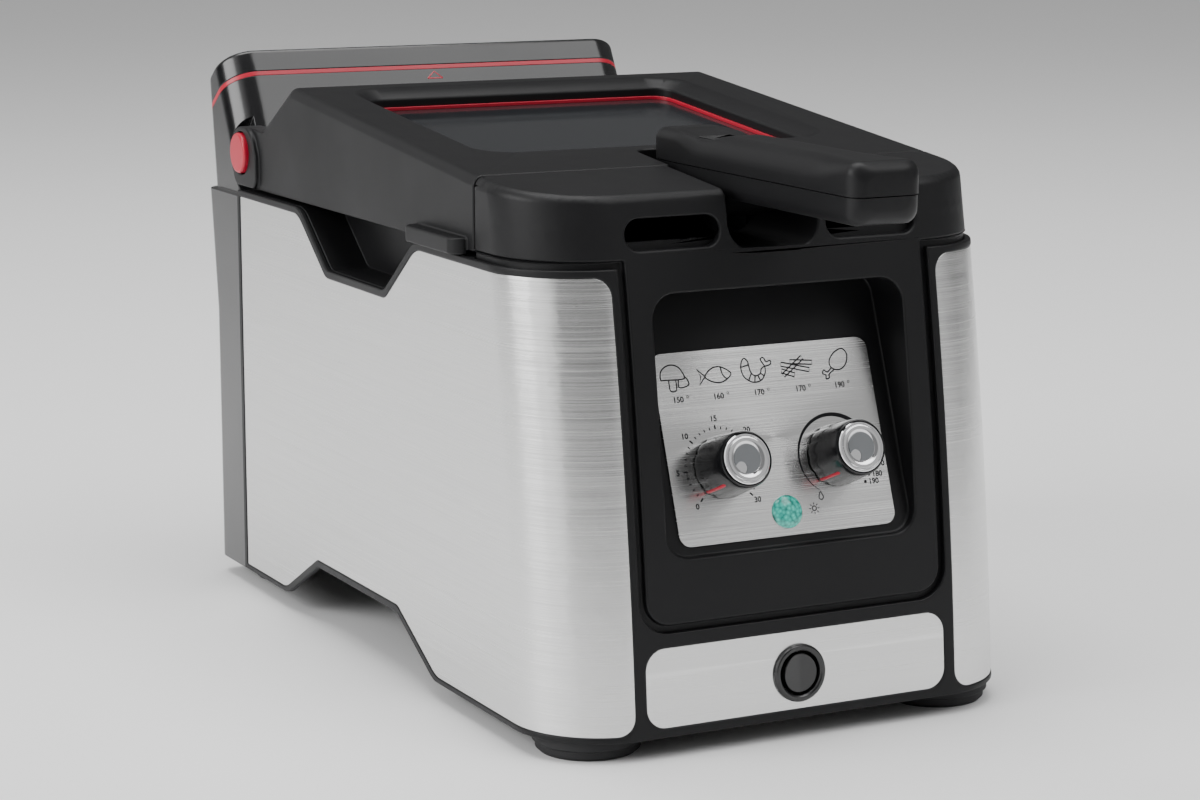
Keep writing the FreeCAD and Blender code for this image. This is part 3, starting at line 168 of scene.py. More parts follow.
ALONG = (6.0, 6.0, 2600.0)
materials = {
    "black_plastic": moulded("black_plastic", (0.0075, 0.0075, 0.0082), 0.44, Specular_IOR_Level=0.24),
    "dark_gloss": moulded("dark_gloss", (0.006, 0.006, 0.0068), 0.22, 900.0, 0.00002, Coat_Weight=0.3,
                          Coat_Roughness=0.12),
    "brushed_steel": brushed("brushed_steel", (0.78, 0.78, 0.775), 0.22, ALONG, 0.00002, 0.8),
    "sheet_steel": brushed("sheet_steel", (0.60, 0.60, 0.60), 0.33, (500.0, 30.0, 30.0), 0.00002, 0.3),
    "chrome": smooth_metal("chrome", (0.86, 0.86, 0.87), 0.10),
    "grey_disc": smooth_metal("grey_disc", (0.24, 0.25, 0.26), 0.38),
    "red_plastic": moulded("red_plastic", (0.46, 0.008, 0.03), 0.33),
    "green_lens": lit_lens("green_lens"),
    "glass": smoked_glass("glass"),
    "rubber": moulded("rubber", (0.010, 0.010, 0.011), 0.72, 2500.0, 0.00008),
    "grey_rubber": moulded("grey_rubber", (0.10, 0.10, 0.10), 0.6, 2500.0, 0.00006),
    "wire": smooth_metal("wire", (0.74, 0.74, 0.75), 0.16),
    "zinc": smooth_metal("zinc", (0.58, 0.58, 0.60), 0.34),
    "carbon": moulded("carbon", (0.02, 0.02, 0.02), 0.8, 700.0, 0.0008),
    "foam": moulded("foam", (0.55, 0.55, 0.52), 0.9, 1200.0, 0.0006),
    "beige": moulded("beige", (0.48, 0.45, 0.38), 0.5),
    "print": moulded("print", (0.006, 0.006, 0.008), 0.6, Specular_IOR_Level=0.2),
}

for node, piece in frame["nodes"].items():
    piece.data.materials.clear()
    piece.data.materials.append(materials[slot_of[node]])


# ---------------------------------------------------------------- pieces

def new_piece(name, mesh, slot, body, stands_for=()):
    """Put a mesh in the scene as a piece that rides on a body."""
    piece = bpy.data.objects.new(name, mesh)
    bpy.context.scene.collection.objects.link(piece)
    mesh.materials.clear()
    mesh.materials.append(materials[slot])
    for polygon in mesh.polygons:
        polygon.use_smooth = True
    mesh.set_sharp_from_angle(angle=math.radians(42))
    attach(piece, body)
    if stands_for:
        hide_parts(*stands_for)
    return piece


def round_edges(piece, width, segments=3, angle=32.0):
    bevel = piece.modifiers.new("rounding", "BEVEL")
    bevel.width = width
    bevel.segments = segments
    bevel.limit_method = "ANGLE"
    bevel.angle_limit = math.radians(angle)
    bevel.use_clamp_overlap = False
    bevel.miter_outer = "MITER_ARC"
    even = piece.modifiers.new("even_shading", "WEIGHTED_NORMAL")
    even.keep_sharp = False
    return piece


def softened(node, width, segments=3, angle=32.0):
    """The CAD piece with its sharp edges broken."""
    mesh = frame["nodes"][node].data.copy()
    shape = bmesh.new()
    shape.from_mesh(mesh)
    bmesh.ops.remove_doubles(shape, verts=shape.verts, dist=1e-6)
    bmesh.ops.dissolve_limit(shape, angle_limit=math.radians(0.4), verts=shape.verts, edges=shape.edges)
    shape.to_mesh(mesh)
    shape.free()
    mesh.name = node + "_soft"
    piece = new_piece(node + "_soft", mesh, slot_of[node], body_holding[node], (node,))
    return round_edges(piece, width, segments, angle)


def mesh_from(name, points, faces):
    mesh = bpy.data.meshes.new(name)
    mesh.from_pydata(points, [], faces)
    mesh.update()
    return mesh


class Solid:
    """Collects points and faces of a piece that is built up in loops."""

    def __init__(self):
        self.points = []
        self.faces = []

    def ring(self, points):
        start = len(self.points)
        self.points.extend(points)
        return list(range(start, start + len(points)))

    def join(self, first, second):
        count = len(first)
        for index in range(count):
            follow = (index + 1) % count
            self.faces.append((first[index], first[follow], second[follow], second[index]))

    def close(self, ring, flip=False):
        self.faces.append(tuple(reversed(ring)) if flip else tuple(ring))

    def tube(self, path, radius, closed=False, sides=8, up=Vector((0, 0, 1)), flat=1.0):
        """A round or flattened bar along a path of points."""
        count = len(path)
        rings = []
        for index, here in enumerate(path):
            before = path[index - 1] if closed or index else here
            after = path[(index + 1) % count] if closed or index < count - 1 else here
            ahead = (after - before).normalized()
            side = ahead.cross(up)
            if side.length < 1e-4:
                side = ahead.cross(Vector((1, 0, 0)))
            side.normalize()
            top = side.cross(ahead).normalized()
            rings.append(self.ring([
                here + side * radius * math.cos(turn) + top * radius * flat * math.sin(turn)
                for turn in (2 * math.pi * step / sides for step in range(sides))]))
        for first, second in zip(rings, rings[1:]):
            self.join(second, first)
        if closed:
            self.join(rings[0], rings[-1])
        else:
            self.close(rings[0])
            self.close(rings[-1], flip=True)

    def lathe(self, profile, sides=64, ripple=None):
        """Turn (radius, height) points about the local Z axis; ripple can reshape the radius."""
        rings = []
        for radius, height in profile:
            turns = [2 * math.pi * step / sides for step in range(sides)]
            shaped = [ripple(radius, height, turn) if ripple else radius for turn in turns]
            rings.append(self.ring([Vector((size * math.cos(turn), size * math.sin(turn), height))
                                    for size, turn in zip(shaped, turns)]))
        for first, second in zip(rings, rings[1:]):
            self.join(first, second)
        self.close(rings[0], flip=True)
        self.close(rings[-1])

    def mesh(self, name, place=None):
        points = [place @ point for point in self.points] if place else self.points
        return mesh_from(name, [tuple(point) for point in points], self.faces)


def curve_through(points, steps=8, closed=False):
    """Smooth path of points through the given ones."""
    count = len(points)
    path = []
    spans = count if closed else count - 1
    for index in range(spans):
        near = [index + shift for shift in (-1, 0, 1, 2)]
        near = [place % count if closed else min(max(place, 0), count - 1) for place in near]
        a, b, c, e = [points[place] for place in near]
        for step in range(steps):
            t = step / steps
            path.append(0.5 * (2 * b + (c - a) * t + (2 * a - 5 * b + 4 * c - e) * t ** 2
                               + (3 * b - a - 3 * c + e) * t ** 3))
    if not closed:
        path.append(points[-1])
    return path


def on_circle(radius, turn, level=0.0):
    return Vector((radius * math.cos(turn), radius * math.sin(turn), level))


def arc_path(centre, radius, start, stop, steps=24):
    turns = [math.radians(start + (stop - start) * step / steps) for step in range(steps + 1)]
    return [Vector((*centre, 0)) + on_circle(radius, turn) for turn in turns]


# ---------------------------------------------------------------- frames and sizes taken from the CAD

def width_of(node):
    low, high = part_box(node)
    return high[0] - low[0]


def local_frame(origin, up_axis):
    """Frame at a point whose Z is the given direction and whose X stays level."""
    z_axis = Vector(up_axis).normalized()
    x_axis = Vector((1, 0, 0))
    y_axis = z_axis.cross(x_axis).normalized()
    x_axis = y_axis.cross(z_axis)
    rotation = Matrix((x_axis, y_axis, z_axis)).transposed().to_4x4()
    return Matrix.Translation(Vector(origin)) @ rotation


def joint_frame(name):
    """Frame on a turning joint, with Z pointing out of the object."""
    joint = joint_of[name]
    return local_frame(joint["pos_m"], [-value for value in joint["axis"]])


timer_frame = joint_frame("timer_turn")
thermostat_frame = joint_frame("thermostat_turn")
knob_radius = width_of("timer_knob") / 2
cap_radius = width_of("timer_knob_cap") / 2
KNOB_LENGTH = 22.6 * MM
KNOB_CLEAR = 0.6 * MM
KNOB_RISE = 30.5 * MM
panel_frame = local_frame((timer_frame.translation + thermostat_frame.translation) / 2,
                          timer_frame.col[2].to_3d()) @ Matrix.Translation((0, -KNOB_RISE, 0))
knob_side = abs(timer_frame.translation.x)
POINTER_TURN = 227.0


# ---------------------------------------------------------------- CAD pieces whose edges are only broken

# width of the broken edge of each piece, in millimetres
edge_widths = {
    "body_frame": 0.7, "left_steel_skin": 0.25, "right_steel_skin": 0.25, "lower_front_plate": 0.25,
    "rim_ring": 0.7, "front_fascia": 1.1, "control_panel": 0.2, "lid_shell": 0.9, "window_trim": 0.2,
    "tower_housing": 0.3, "rear_cover": 0.4, "tower_band": 0.2, "tower_cap": 0.6, "base_tray": 0.4,
    "switch_bezel": 0.25, "switch_rocker": 0.35, "handle_slide_catch": 0.4,
    "left_release_button": 0.5, "right_release_button": 0.5, "lid_inner_pan": 0.5, "oil_bowl": 0.3,
    "basket_bracket": 0.3, "window_glass": 0.3,
}
for node, width in edge_widths.items():
    softened(node, width * MM)


# ---------------------------------------------------------------- knobs

def grip(radius, height, turn):
    """Shallow finger flutes that die out towards the top of a knob."""
    fade = max(0.0, 1.0 - height / (0.75 * KNOB_LENGTH))
    return radius - fade * 0.55 * MM * max(0.0, math.cos(12 * turn)) ** 2


def build_knob(name, body, place):
    top = KNOB_LENGTH
    skirt = Solid()
    skirt.lathe([(knob_radius - 1.0 * MM, 0.0), (knob_radius - 0.2 * MM, 0.25 * MM), (knob_radius, 1.0 * MM),
                 (knob_radius, 3.0 * MM), (knob_radius - 0.35 * MM, 9.0 * MM),
                 (cap_radius + 1.5 * MM, top - 4.2 * MM),
                 (cap_radius + 1.2 * MM, top - 1.4 * MM), (cap_radius + 0.9 * MM, top - 0.7 * MM),
                 (cap_radius + 0.35 * MM, top - 0.5 * MM), (cap_radius, top - 0.9 * MM),
                 (cap_radius - 0.1 * MM, top - 1.9 * MM)], 96, grip)
    seat = place @ Matrix.Translation((0, 0, KNOB_CLEAR))
    new_piece(name + "_knob_body", skirt.mesh(name + "_knob_body", seat), "dark_gloss", body,
              (name + "_knob",))
    cap = Solid()
    edge = cap_radius - 0.15 * MM
    cap.lathe([(edge, top - 1.8 * MM), (edge, top - 0.2 * MM), (edge - 0.35 * MM, top + 0.15 * MM),
               (edge - 0.8 * MM, top + 0.15 * MM), (edge - 1.0 * MM, top - 0.25 * MM),
               (edge - 1.35 * MM, top - 0.25 * MM), (edge - 1.6 * MM, top + 0.3 * MM),
               (edge - 2.1 * MM, top + 0.45 * MM), (0.60 * edge, top + 0.05 * MM),
               (0.585 * edge, top - 0.15 * MM),
               (0.1 * edge, top - 0.15 * MM)], 96)
    new_piece(name + "_cap_ring", cap.mesh(name + "_cap_ring", seat), "chrome", body, (name + "_knob_cap",))
    # satin disc with a bite out of it, and a bright dimple in the bite
    turn = math.radians(POINTER_TURN)
    disc_radius = 0.57 * edge
    bite = Vector((0.78 * disc_radius * math.cos(turn), 0.78 * disc_radius * math.sin(turn), 0))
    bite_radius = 0.24 * edge
    outline = []
    for step in range(180):
        angle = 2 * math.pi * step / 180
        point = Vector((disc_radius * math.cos(angle), disc_radius * math.sin(angle), 0))
        if (point - bite).length < bite_radius:
            continue
        outline.append((angle - turn) % (2 * math.pi))
    outline = [turn + angle for angle in sorted(outline)]
    rim = [Vector((disc_radius * math.cos(angle), disc_radius * math.sin(angle), 0)) for angle in outline]
    start, stop = rim[-1] - bite, rim[0] - bite
    first = math.atan2(start.y, start.x)
    sweep = (math.atan2(stop.y, stop.x) - first) % (2 * math.pi) - 2 * math.pi
    steps = 16
    bay = [bite + on_circle(bite_radius, first + sweep * step / steps) for step in range(1, steps)]
    disc = Solid()
    rings = [disc.ring([point + Vector((0, 0, level)) for point in rim + bay])
             for level in (top - 0.2 * MM, top + 0.1 * MM)]
    disc.join(rings[0], rings[1])
    disc.close(rings[1])
    disc.close(rings[0], flip=True)
    new_piece(name + "_cap_disc", disc.mesh(name + "_cap_disc", seat), "grey_disc", body)
    # red pointer let into the side
    pointer = Solid()
    direction = Vector((math.cos(turn), math.sin(turn), 0))
    path = [direction * (knob_radius + 0.02 * MM) + Vector((0, 0, 0.6 * MM)),
            direction * (knob_radius + 0.02 * MM) + Vector((0, 0, 3.2 * MM)),
            direction * (knob_radius - 0.28 * MM) + Vector((0, 0, 9.0 * MM)),
            direction * (knob_radius - 0.68 * MM) + Vector((0, 0, 14.4 * MM)),
            direction * (knob_radius - 1.30 * MM) + Vector((0, 0, 15.8 * MM))]
    pointer.tube(path, 0.75 * MM, up=direction, flat=0.5)
    new_piece(name + "_pointer", pointer.mesh(name + "_pointer", seat), "red_plastic", body)


build_knob("timer", "timer", timer_frame)
build_knob("thermostat", "thermostat", thermostat_frame)


# ---------------------------------------------------------------- ready lamp

def build_lamp():
    low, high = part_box("ready_lamp_lens")
    radius = (high[0] - low[0]) / 2
    rise = 8.7 * MM
    dome = Solid()
    levels = 9
    profile = [(radius, 0.02 * MM), (radius, 0.7 * MM)]
    profile += [(radius * math.cos(turn) * 0.97, 0.7 * MM + 2.0 * MM * math.sin(turn))
                for turn in (math.pi / 2 * step / levels for step in range(1, levels))]
    dome.lathe(profile, 56)
    new_piece("ready_lamp_dome", dome.mesh("ready_lamp_dome", panel_frame @ Matrix.Translation((0, rise, 0))),
              "green_lens", "root", ("ready_lamp_lens",))


build_lamp()


# ---------------------------------------------------------------- printed scales and icons

# half width of an icon line, and the levels of a flat print above its face in millimetres
LINE = 0.3 * MM
PRINT_FOOT = -0.02
PRINT_TOP = 0.05


def spot(u, v, w=0.0):
    return Vector((u * MM, v * MM, w * MM))


def top_of(node, place, reach=None):
    """Highest point of a CAD piece along the Z of a frame, near the frame's own axis."""
    piece = frame["nodes"][node]
    local = place.inverted() @ piece.matrix_world
    points = [local @ vertex.co for vertex in piece.data.vertices]
    return max(point.z for point in points if reach is None or point.xy.length < reach)


def strokes(solid, paths, width=LINE):
    """Thin raised lines of a print, laid on the local XY plane."""
    for path, closed in paths:
        solid.tube(path, width, closed, 6, Vector((0, 0, 1)), 0.35)


def smooth(points, closed=False, steps=6):
    return curve_through([spot(u, v) for u, v in points], steps, closed), closed


def straight(points, closed=False):
    return [spot(u, v) for u, v in points], closed


def round_path(u, v, radius, start=0.0, stop=360.0):
    whole = stop - start >= 360
    path = arc_path((u * MM, v * MM), radius * MM, start, stop, 28)
    return (path[:-1] if whole else path), whole


def shifted(paths, u, v, scale=1.0):
    return [([point * scale + spot(u, v) for point in path], closed) for path, closed in paths]


def mushroom():
    return [smooth([(-7, 0), (-6, 4.2), (-1.5, 6.4), (3, 5), (5.4, 0.4), (3.4, -0.6), (-4.6, -0.4)], True),
            smooth([(-3, -0.8), (-3, -5), (-1.4, -6), (0.4, -5), (0.6, -0.9)]),
            smooth([(2, -0.8), (1.6, -4), (4, -4.4), (7, -3.2), (6.4, -0.6), (5, 0.6)])]


def fish():
    return [smooth([(-5, -0.4), (-1, 3.2), (4, 3.4), (8.6, 0), (4, -3.4), (-1, -3.2)], True),
            straight([(-5, -0.4), (-8.8, 3.4), (-7.2, -0.2), (-8.4, -4), (-5, -0.4)]),
            smooth([(3.6, 3.4), (4.2, 0), (6, -2.4)])]


def shrimp():
    outer = [(-6.2, 4.4), (-7.2, 1), (-6, -3.2), (-2, -5.8), (2.6, -5.2), (5.2, -2), (5.6, 1)]
    inner = [(5.6, 1), (3.6, 0.2), (2.6, -2), (0, -3), (-2.2, -1.4), (-2.8, 1.6), (-3.2, 4.2),
             (-4.8, 5.6), (-6.2, 4.4)]
    bands = [straight([(-6.9, 1.6), (-3, 2.4)]), straight([(-4, -4.8), (-2.2, -1.8)]),
             straight([(-1, -5.9), (-0.4, -2.9)]),
             straight([(2, -5.4), (1.2, -2.8)]), straight([(4.4, -3.4), (2.5, -1.8)])]
    tail = smooth([(5.6, 1), (3.8, 4.4), (5.4, 5.2), (6.6, 3.2), (8.8, 3.6), (8.6, 1.8), (5.6, 1)])
    return [smooth(outer), smooth(inner), tail] + bands


def bar(start, stop, half=0.95):
    run = Vector((stop[0] - start[0], stop[1] - start[1])).normalized() * half
    return straight([(start[0] - run.y, start[1] + run.x), (stop[0] - run.y, stop[1] + run.x),
                     (stop[0] + run.y, stop[1] - run.x), (start[0] + run.y, start[1] - run.x)], True)


def chips():
    ends = [((-8, 2.2), (6.6, -1.6)), ((-7.6, -3.2), (3.8, 4.6)), ((-3, 3), (8.6, 1.8)),
            ((-8.2, -1), (-1.6, -3.4))]
    return [bar(start, stop) for start, stop in ends]


def drumstick():
    return [smooth([(-2.4, -1.6), (-3, 1.8), (0.4, 5.6), (4.8, 7), (7, 4), (5.4, -0.6), (1.6, -2.8)], True),
            smooth([(-2.4, -1.6), (-5, -3.4), (-6.8, -2.4), (-7.6, -4), (-6, -4.8), (-6.2, -6.6),
                    (-4.4, -6.2), (-4.2, -4.6), (-1.2, -2.6)])]


def lettering(target, text, size, u, v):
    """Numbers as thin raised outlines, centred at a point of the print."""
    curve = bpy.data.curves.new("numbers", "FONT")
    curve.body = text
    curve.size = size * MM
    curve.extrude = 0.03 * MM
    curve.offset = 0.09 * MM
    curve.resolution_u = 3
    curve.align_x = "CENTER"
    curve.align_y = "CENTER"
    writer = bpy.data.objects.new("numbers", curve)
    mesh = bpy.data.meshes.new_from_object(writer)
    offset = len(target.points)
    target.points.extend(point.co + spot(u, v) for point in mesh.vertices)
    target.faces.extend(tuple(offset + index for index in polygon.vertices) for polygon in mesh.polygons)
    bpy.data.objects.remove(writer)
    bpy.data.curves.remove(curve)
    bpy.data.meshes.remove(mesh)


def disc_print(solid, u, v, radius):
    sides = 20
    turns = [2 * math.pi * step / sides for step in range(sides)]
    rings = [solid.ring([spot(u, v, level) + on_circle(radius * MM, turn) for turn in turns])
             for level in (PRINT_FOOT, PRINT_TOP)]
    solid.join(rings[0], rings[1])
    solid.close(rings[0], flip=True)
    solid.close(rings[1])


def build_panel_print():
    solid = Solid()
    side = knob_side / MM
    rise = KNOB_RISE / MM
    icon_level = 70.3
    icons = ((-43.6, mushroom, "150"), (-24.1, fish, "160"), (-4.2, shrimp, "170"), (16.4, chips, "170"),
             (36.0, drumstick, "190"))
    for u, drawing, degrees in icons:
        strokes(solid, shifted(drawing(), u, icon_level + (0.8 if drawing is shrimp else 0.0), 0.93))
        lettering(solid, degrees, 3.5, u + 0.3, 61.0)
        strokes(solid, [round_path(u + 5.0, 62.1, 0.5)], 0.14 * MM)
    # timer scale: thirty steps, longer at every fifth
    per_step = 9.1
    for step in range(31):
        turn = math.radians(POINTER_TURN - per_step * step)
        long_mark = step % 5 == 0
        inner, outer = 16.6, 18.4 if long_mark else 17.7
        strokes(solid, [straight([(-side + inner * math.cos(turn), rise + inner * math.sin(turn)),
                                  (-side + outer * math.cos(turn), rise + outer * math.sin(turn))])],
                (0.36 if long_mark else 0.26) * MM)
        if step in (0, 5, 10, 15, 20, 25, 30):
            reach = 21.2
            lettering(solid, str(step), 3.4, -side + reach * math.cos(turn), rise + reach * math.sin(turn))
    # thermostat: a band that widens clockwise from the lower left
    count = 48
    band_start, band_stop = 236.0, -8.0
    inner_ring, outer_ring = [], []
    for step in range(count + 1):
        part = step / count
        turn = math.radians(band_start + (band_stop - band_start) * part)
        inner_ring.append((17.3, turn))
        outer_ring.append((17.4 + 2.3 * part ** 0.8, turn))
    shape = inner_ring + outer_ring[::-1]
    rings = [solid.ring([spot(side + radius * math.cos(turn), rise + radius * math.sin(turn), level)
                         for radius, turn in shape]) for level in (PRINT_FOOT, PRINT_TOP)]
    solid.join(rings[0], rings[1])
    for index in range(count):
        a, b = index, index + 1
        c, e = 2 * count + 1 - index, 2 * count - index
        solid.faces.append((rings[1][a], rings[1][c], rings[1][e], rings[1][b]))
        solid.faces.append((rings[0][b], rings[0][e], rings[0][c], rings[0][a]))
    reach = 18.3
    for degrees, turn in (("170", -17.0), ("180", -32.0), ("190", -44.0)):
        u = side + reach * math.cos(math.radians(turn))
        v = rise + reach * math.sin(math.radians(turn))
        disc_print(solid, u, v, 0.72)
        lettering(solid, degrees, 3.4, u + 4.2, v - 0.2)
    # lowest setting: a small drop; lamp: a small rayed ring
    strokes(solid, [smooth([(17.9, 15.6), (19.0, 13.2), (17.9, 12.2), (16.8, 13.2)], True)], 0.24 * MM)
    strokes(solid, [round_path(13.6, 8.8, 1.0)], 0.24 * MM)
    strokes(solid, [straight([(13.6 + 1.7 * math.cos(turn), 8.8 + 1.7 * math.sin(turn)),
                              (13.6 + 2.5 * math.cos(turn), 8.8 + 2.5 * math.sin(turn))])
                    for turn in (math.pi / 4 * step for step in range(8))], 0.22 * MM)
    lift = top_of("control_panel", panel_frame) + 0.02 * MM
    place = panel_frame @ Matrix.Translation((0, 0, lift))
    new_piece("panel_print", solid.mesh("panel_print", place), "print", "root")


build_panel_print()


# ---------------------------------------------------------------- handle

HANDLE_SPLIT = 240.0 * MM
tip_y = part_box("handle_upper_shell")[0][1]
root_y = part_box("handle_upper_shell")[1][1]
handle_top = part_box("handle_upper_shell")[1][2]
handle_half = width_of("handle_upper_shell") / 2
handle_foot = 228.0 * MM
stem_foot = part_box("handle_lower_shell")[0][2]
catch_low, catch_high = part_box("handle_slide_catch")


def ease(value, low, high):
    part = min(max((value - low) / (high - low), 0.0), 1.0)
    return part * part * (3 - 2 * part)


def end_inset(y, radius):
    """How far a rounded end draws in at a distance from the handle's ends."""
    reach = max(0.0, radius - (y - tip_y), radius - (root_y - y))
    reach = min(reach, radius)
    return radius - math.sqrt(max(radius ** 2 - reach ** 2, 0.0))


def handle_stations():
    """Y positions, close together at both rounded ends."""
    bend = 8.0 * MM
    near = [bend * (1 - math.cos(math.pi / 2 * step / 9)) for step in range(1, 10)]
    count = 46
    run = root_y - tip_y - 2 * bend
    middle = [tip_y + bend + run * step / count for step in range(1, count)]
    return ([tip_y + 0.02 * MM] + [tip_y + value for value in near] + middle
            + [root_y - value for value in reversed(near)] + [root_y - 0.02 * MM])


def dip(x, y):
    """Shallow thumb dip round the sliding catch."""
    middle_y = (catch_low[1] + catch_high[1]) / 2 + 3 * MM
    along = (y - middle_y) / (18 * MM)
    across = x / (13.5 * MM)
    return 3.4 * MM * max(0.0, 1 - along ** 2) ** 0.7 * max(0.0, 1 - across ** 4)


def half_section(half, height, radius, steps=8):
    """Side up, round the corner, across the middle and down again, from X = half to X = -half."""
    radius = min(radius, height - 0.1 * MM, half - 0.1 * MM)
    right = [(half, 0.0), (half, (height - radius) * 0.5), (half, height - radius)]
    right += [(half - radius + radius * math.cos(turn), height - radius + radius * math.sin(turn))
              for turn in (math.pi / 2 * step / steps for step in range(1, steps + 1))]
    span = half - radius
    across = [(span - 2 * span * step / 12, height) for step in range(1, 12)]
    left = [(-x, z) for x, z in reversed(right)]
    return right + across + left


def build_handle():
    upper, lower = Solid(), Solid()
    upper_rings, lower_rings = [], []
    split_gap = 0.22 * MM
    for y in handle_stations():
        from_root = root_y - y
        from_tip = y - tip_y
        half = handle_half - 0.9 * MM * ease(from_root, 40 * MM, 0.0) - end_inset(y, 7.0 * MM)
        # broad crown along the grip, squarer at both ends
        soft = ease(from_root, 22 * MM, 44 * MM) * ease(from_tip, 4 * MM, 34 * MM)
        radius = (5.2 + 4.6 * soft) * MM
        top = handle_top - end_inset(y, 6.0 * MM) - HANDLE_SPLIT - split_gap
        section = half_section(half, top, radius)
        points = []
        for x, z in section:
            drop = dip(x, y) * ease(z, 0.55 * top, 0.98 * top)
            points.append(Vector((x, y, HANDLE_SPLIT + split_gap + z - drop)))
        upper_rings.append(upper.ring(points))
        # underside: shallow along the grip, deeper at the stem
        stem = ease(from_root, 66 * MM, 54 * MM)
        foot = handle_foot - (handle_foot - stem_foot) * stem
        depth = HANDLE_SPLIT - split_gap - foot - end_inset(y, 7.0 * MM)
        section = half_section(half - 0.35 * MM, depth, 5.5 * MM)
        lower_rings.append(lower.ring([Vector((-x, y, HANDLE_SPLIT - split_gap - z)) for x, z in section]))
    for solid, rings in ((upper, upper_rings), (lower, lower_rings)):
        for first, second in zip(rings, rings[1:]):
            solid.join(second, first)
        solid.close(rings[0])
        solid.close(rings[-1], flip=True)
    for name, solid, node in (("handle_top_half", upper, "handle_upper_shell"),
                              ("handle_bottom_half", lower, "handle_lower_shell")):
        piece = new_piece(name, solid.mesh(name), "black_plastic", "handle", (node,))
        piece.data.set_sharp_from_angle(angle=math.radians(50))
    joint_line = Solid()
    half = handle_half - 1.9 * MM
    front, rear = tip_y + 7 * MM, root_y - 7 * MM
    corners = ((half, front), (half, rear), (-half, rear), (-half, front))
    rings = [joint_line.ring([Vector((x, y, level)) for x, y in corners])
             for level in (HANDLE_SPLIT - 0.6 * MM, HANDLE_SPLIT + 0.6 * MM)]
    joint_line.join(rings[0], rings[1])
    joint_line.close(rings[0], flip=True)
    joint_line.close(rings[1])
    new_piece("handle_joint_line", joint_line.mesh("handle_joint_line"), "black_plastic", "handle")


build_handle()


# ---------------------------------------------------------------- wire basket

def build_basket():
    low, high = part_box("basket_mesh")
    wire = 0.75 * MM
    corner = 19.0 * MM
    pitch = 8.0 * MM
    half = high[0] - wire
    front, rear = low[1] + wire, high[1] - wire
    foot, top = low[2] + wire, high[2]

    def plan(inset, steps=7):
        radius = max(corner - inset, 2 * MM)
        side = half - radius - inset
        back, fore = rear - radius - inset, front + radius + inset
        centres = [(side, back, 0), (-side, back, 90), (-side, fore, 180), (side, fore, 270)]
        points = []
        for x, y, start in centres:
            points += [(x + radius * math.cos(turn), y + radius * math.sin(turn))
                       for turn in (math.radians(start + 90 * step / steps) for step in range(steps + 1))]
        return points

    wires = Solid()
    bend = 6.0 * MM
    levels = int((top - foot - bend) / pitch)
    for index in range(levels + 1):
        level = foot + bend + (top - foot - bend) * index / levels
        wires.tube([Vector((x, y, level)) for x, y in plan(0.0)], wire, True, 6)
    # upright wires that turn under into the floor grid
    across = int(2 * half / pitch)
    for index in range(1, across):
        x = -half + 2 * half * index / across
        draw = max(0.0, abs(x) - (half - corner))
        shift = corner - math.sqrt(max(corner ** 2 - draw ** 2, 0.0))
        fore, back = front + shift, rear - shift
        path = [(fore + wire, top), (fore + wire, foot + bend), (fore + wire + bend * 0.3, foot + bend * 0.3),
                (fore + bend, foot), (back - bend, foot), (back - wire - bend * 0.3, foot + bend * 0.3),
                (back - wire, foot + bend), (back - wire, top)]
        wires.tube([Vector((x, y, z)) for y, z in path], wire, False, 6)
    along = int((rear - front) / pitch)
    for index in range(1, along):
        y = front + (rear - front) * index / along
        draw = max(0.0, (front + corner) - y, y - (rear - corner))
        shift = corner - math.sqrt(max(corner ** 2 - draw ** 2, 0.0))
        side = half - shift - wire
        grid = foot + wire
        path = [(-side, top), (-side, foot + bend), (-side + bend * 0.3, grid + bend * 0.3),
                (-side + bend, grid), (side - bend, grid), (side - bend * 0.3, grid + bend * 0.3),
                (side, foot + bend), (side, top)]
        wires.tube([Vector((x, y, z)) for x, z in path], wire, False, 6, Vector((0, 1, 0)))
    new_piece("basket_wires", wires.mesh("basket_wires"), "wire", "basket", ("basket_mesh",))


build_basket()


# ---------------------------------------------------------------- small marks

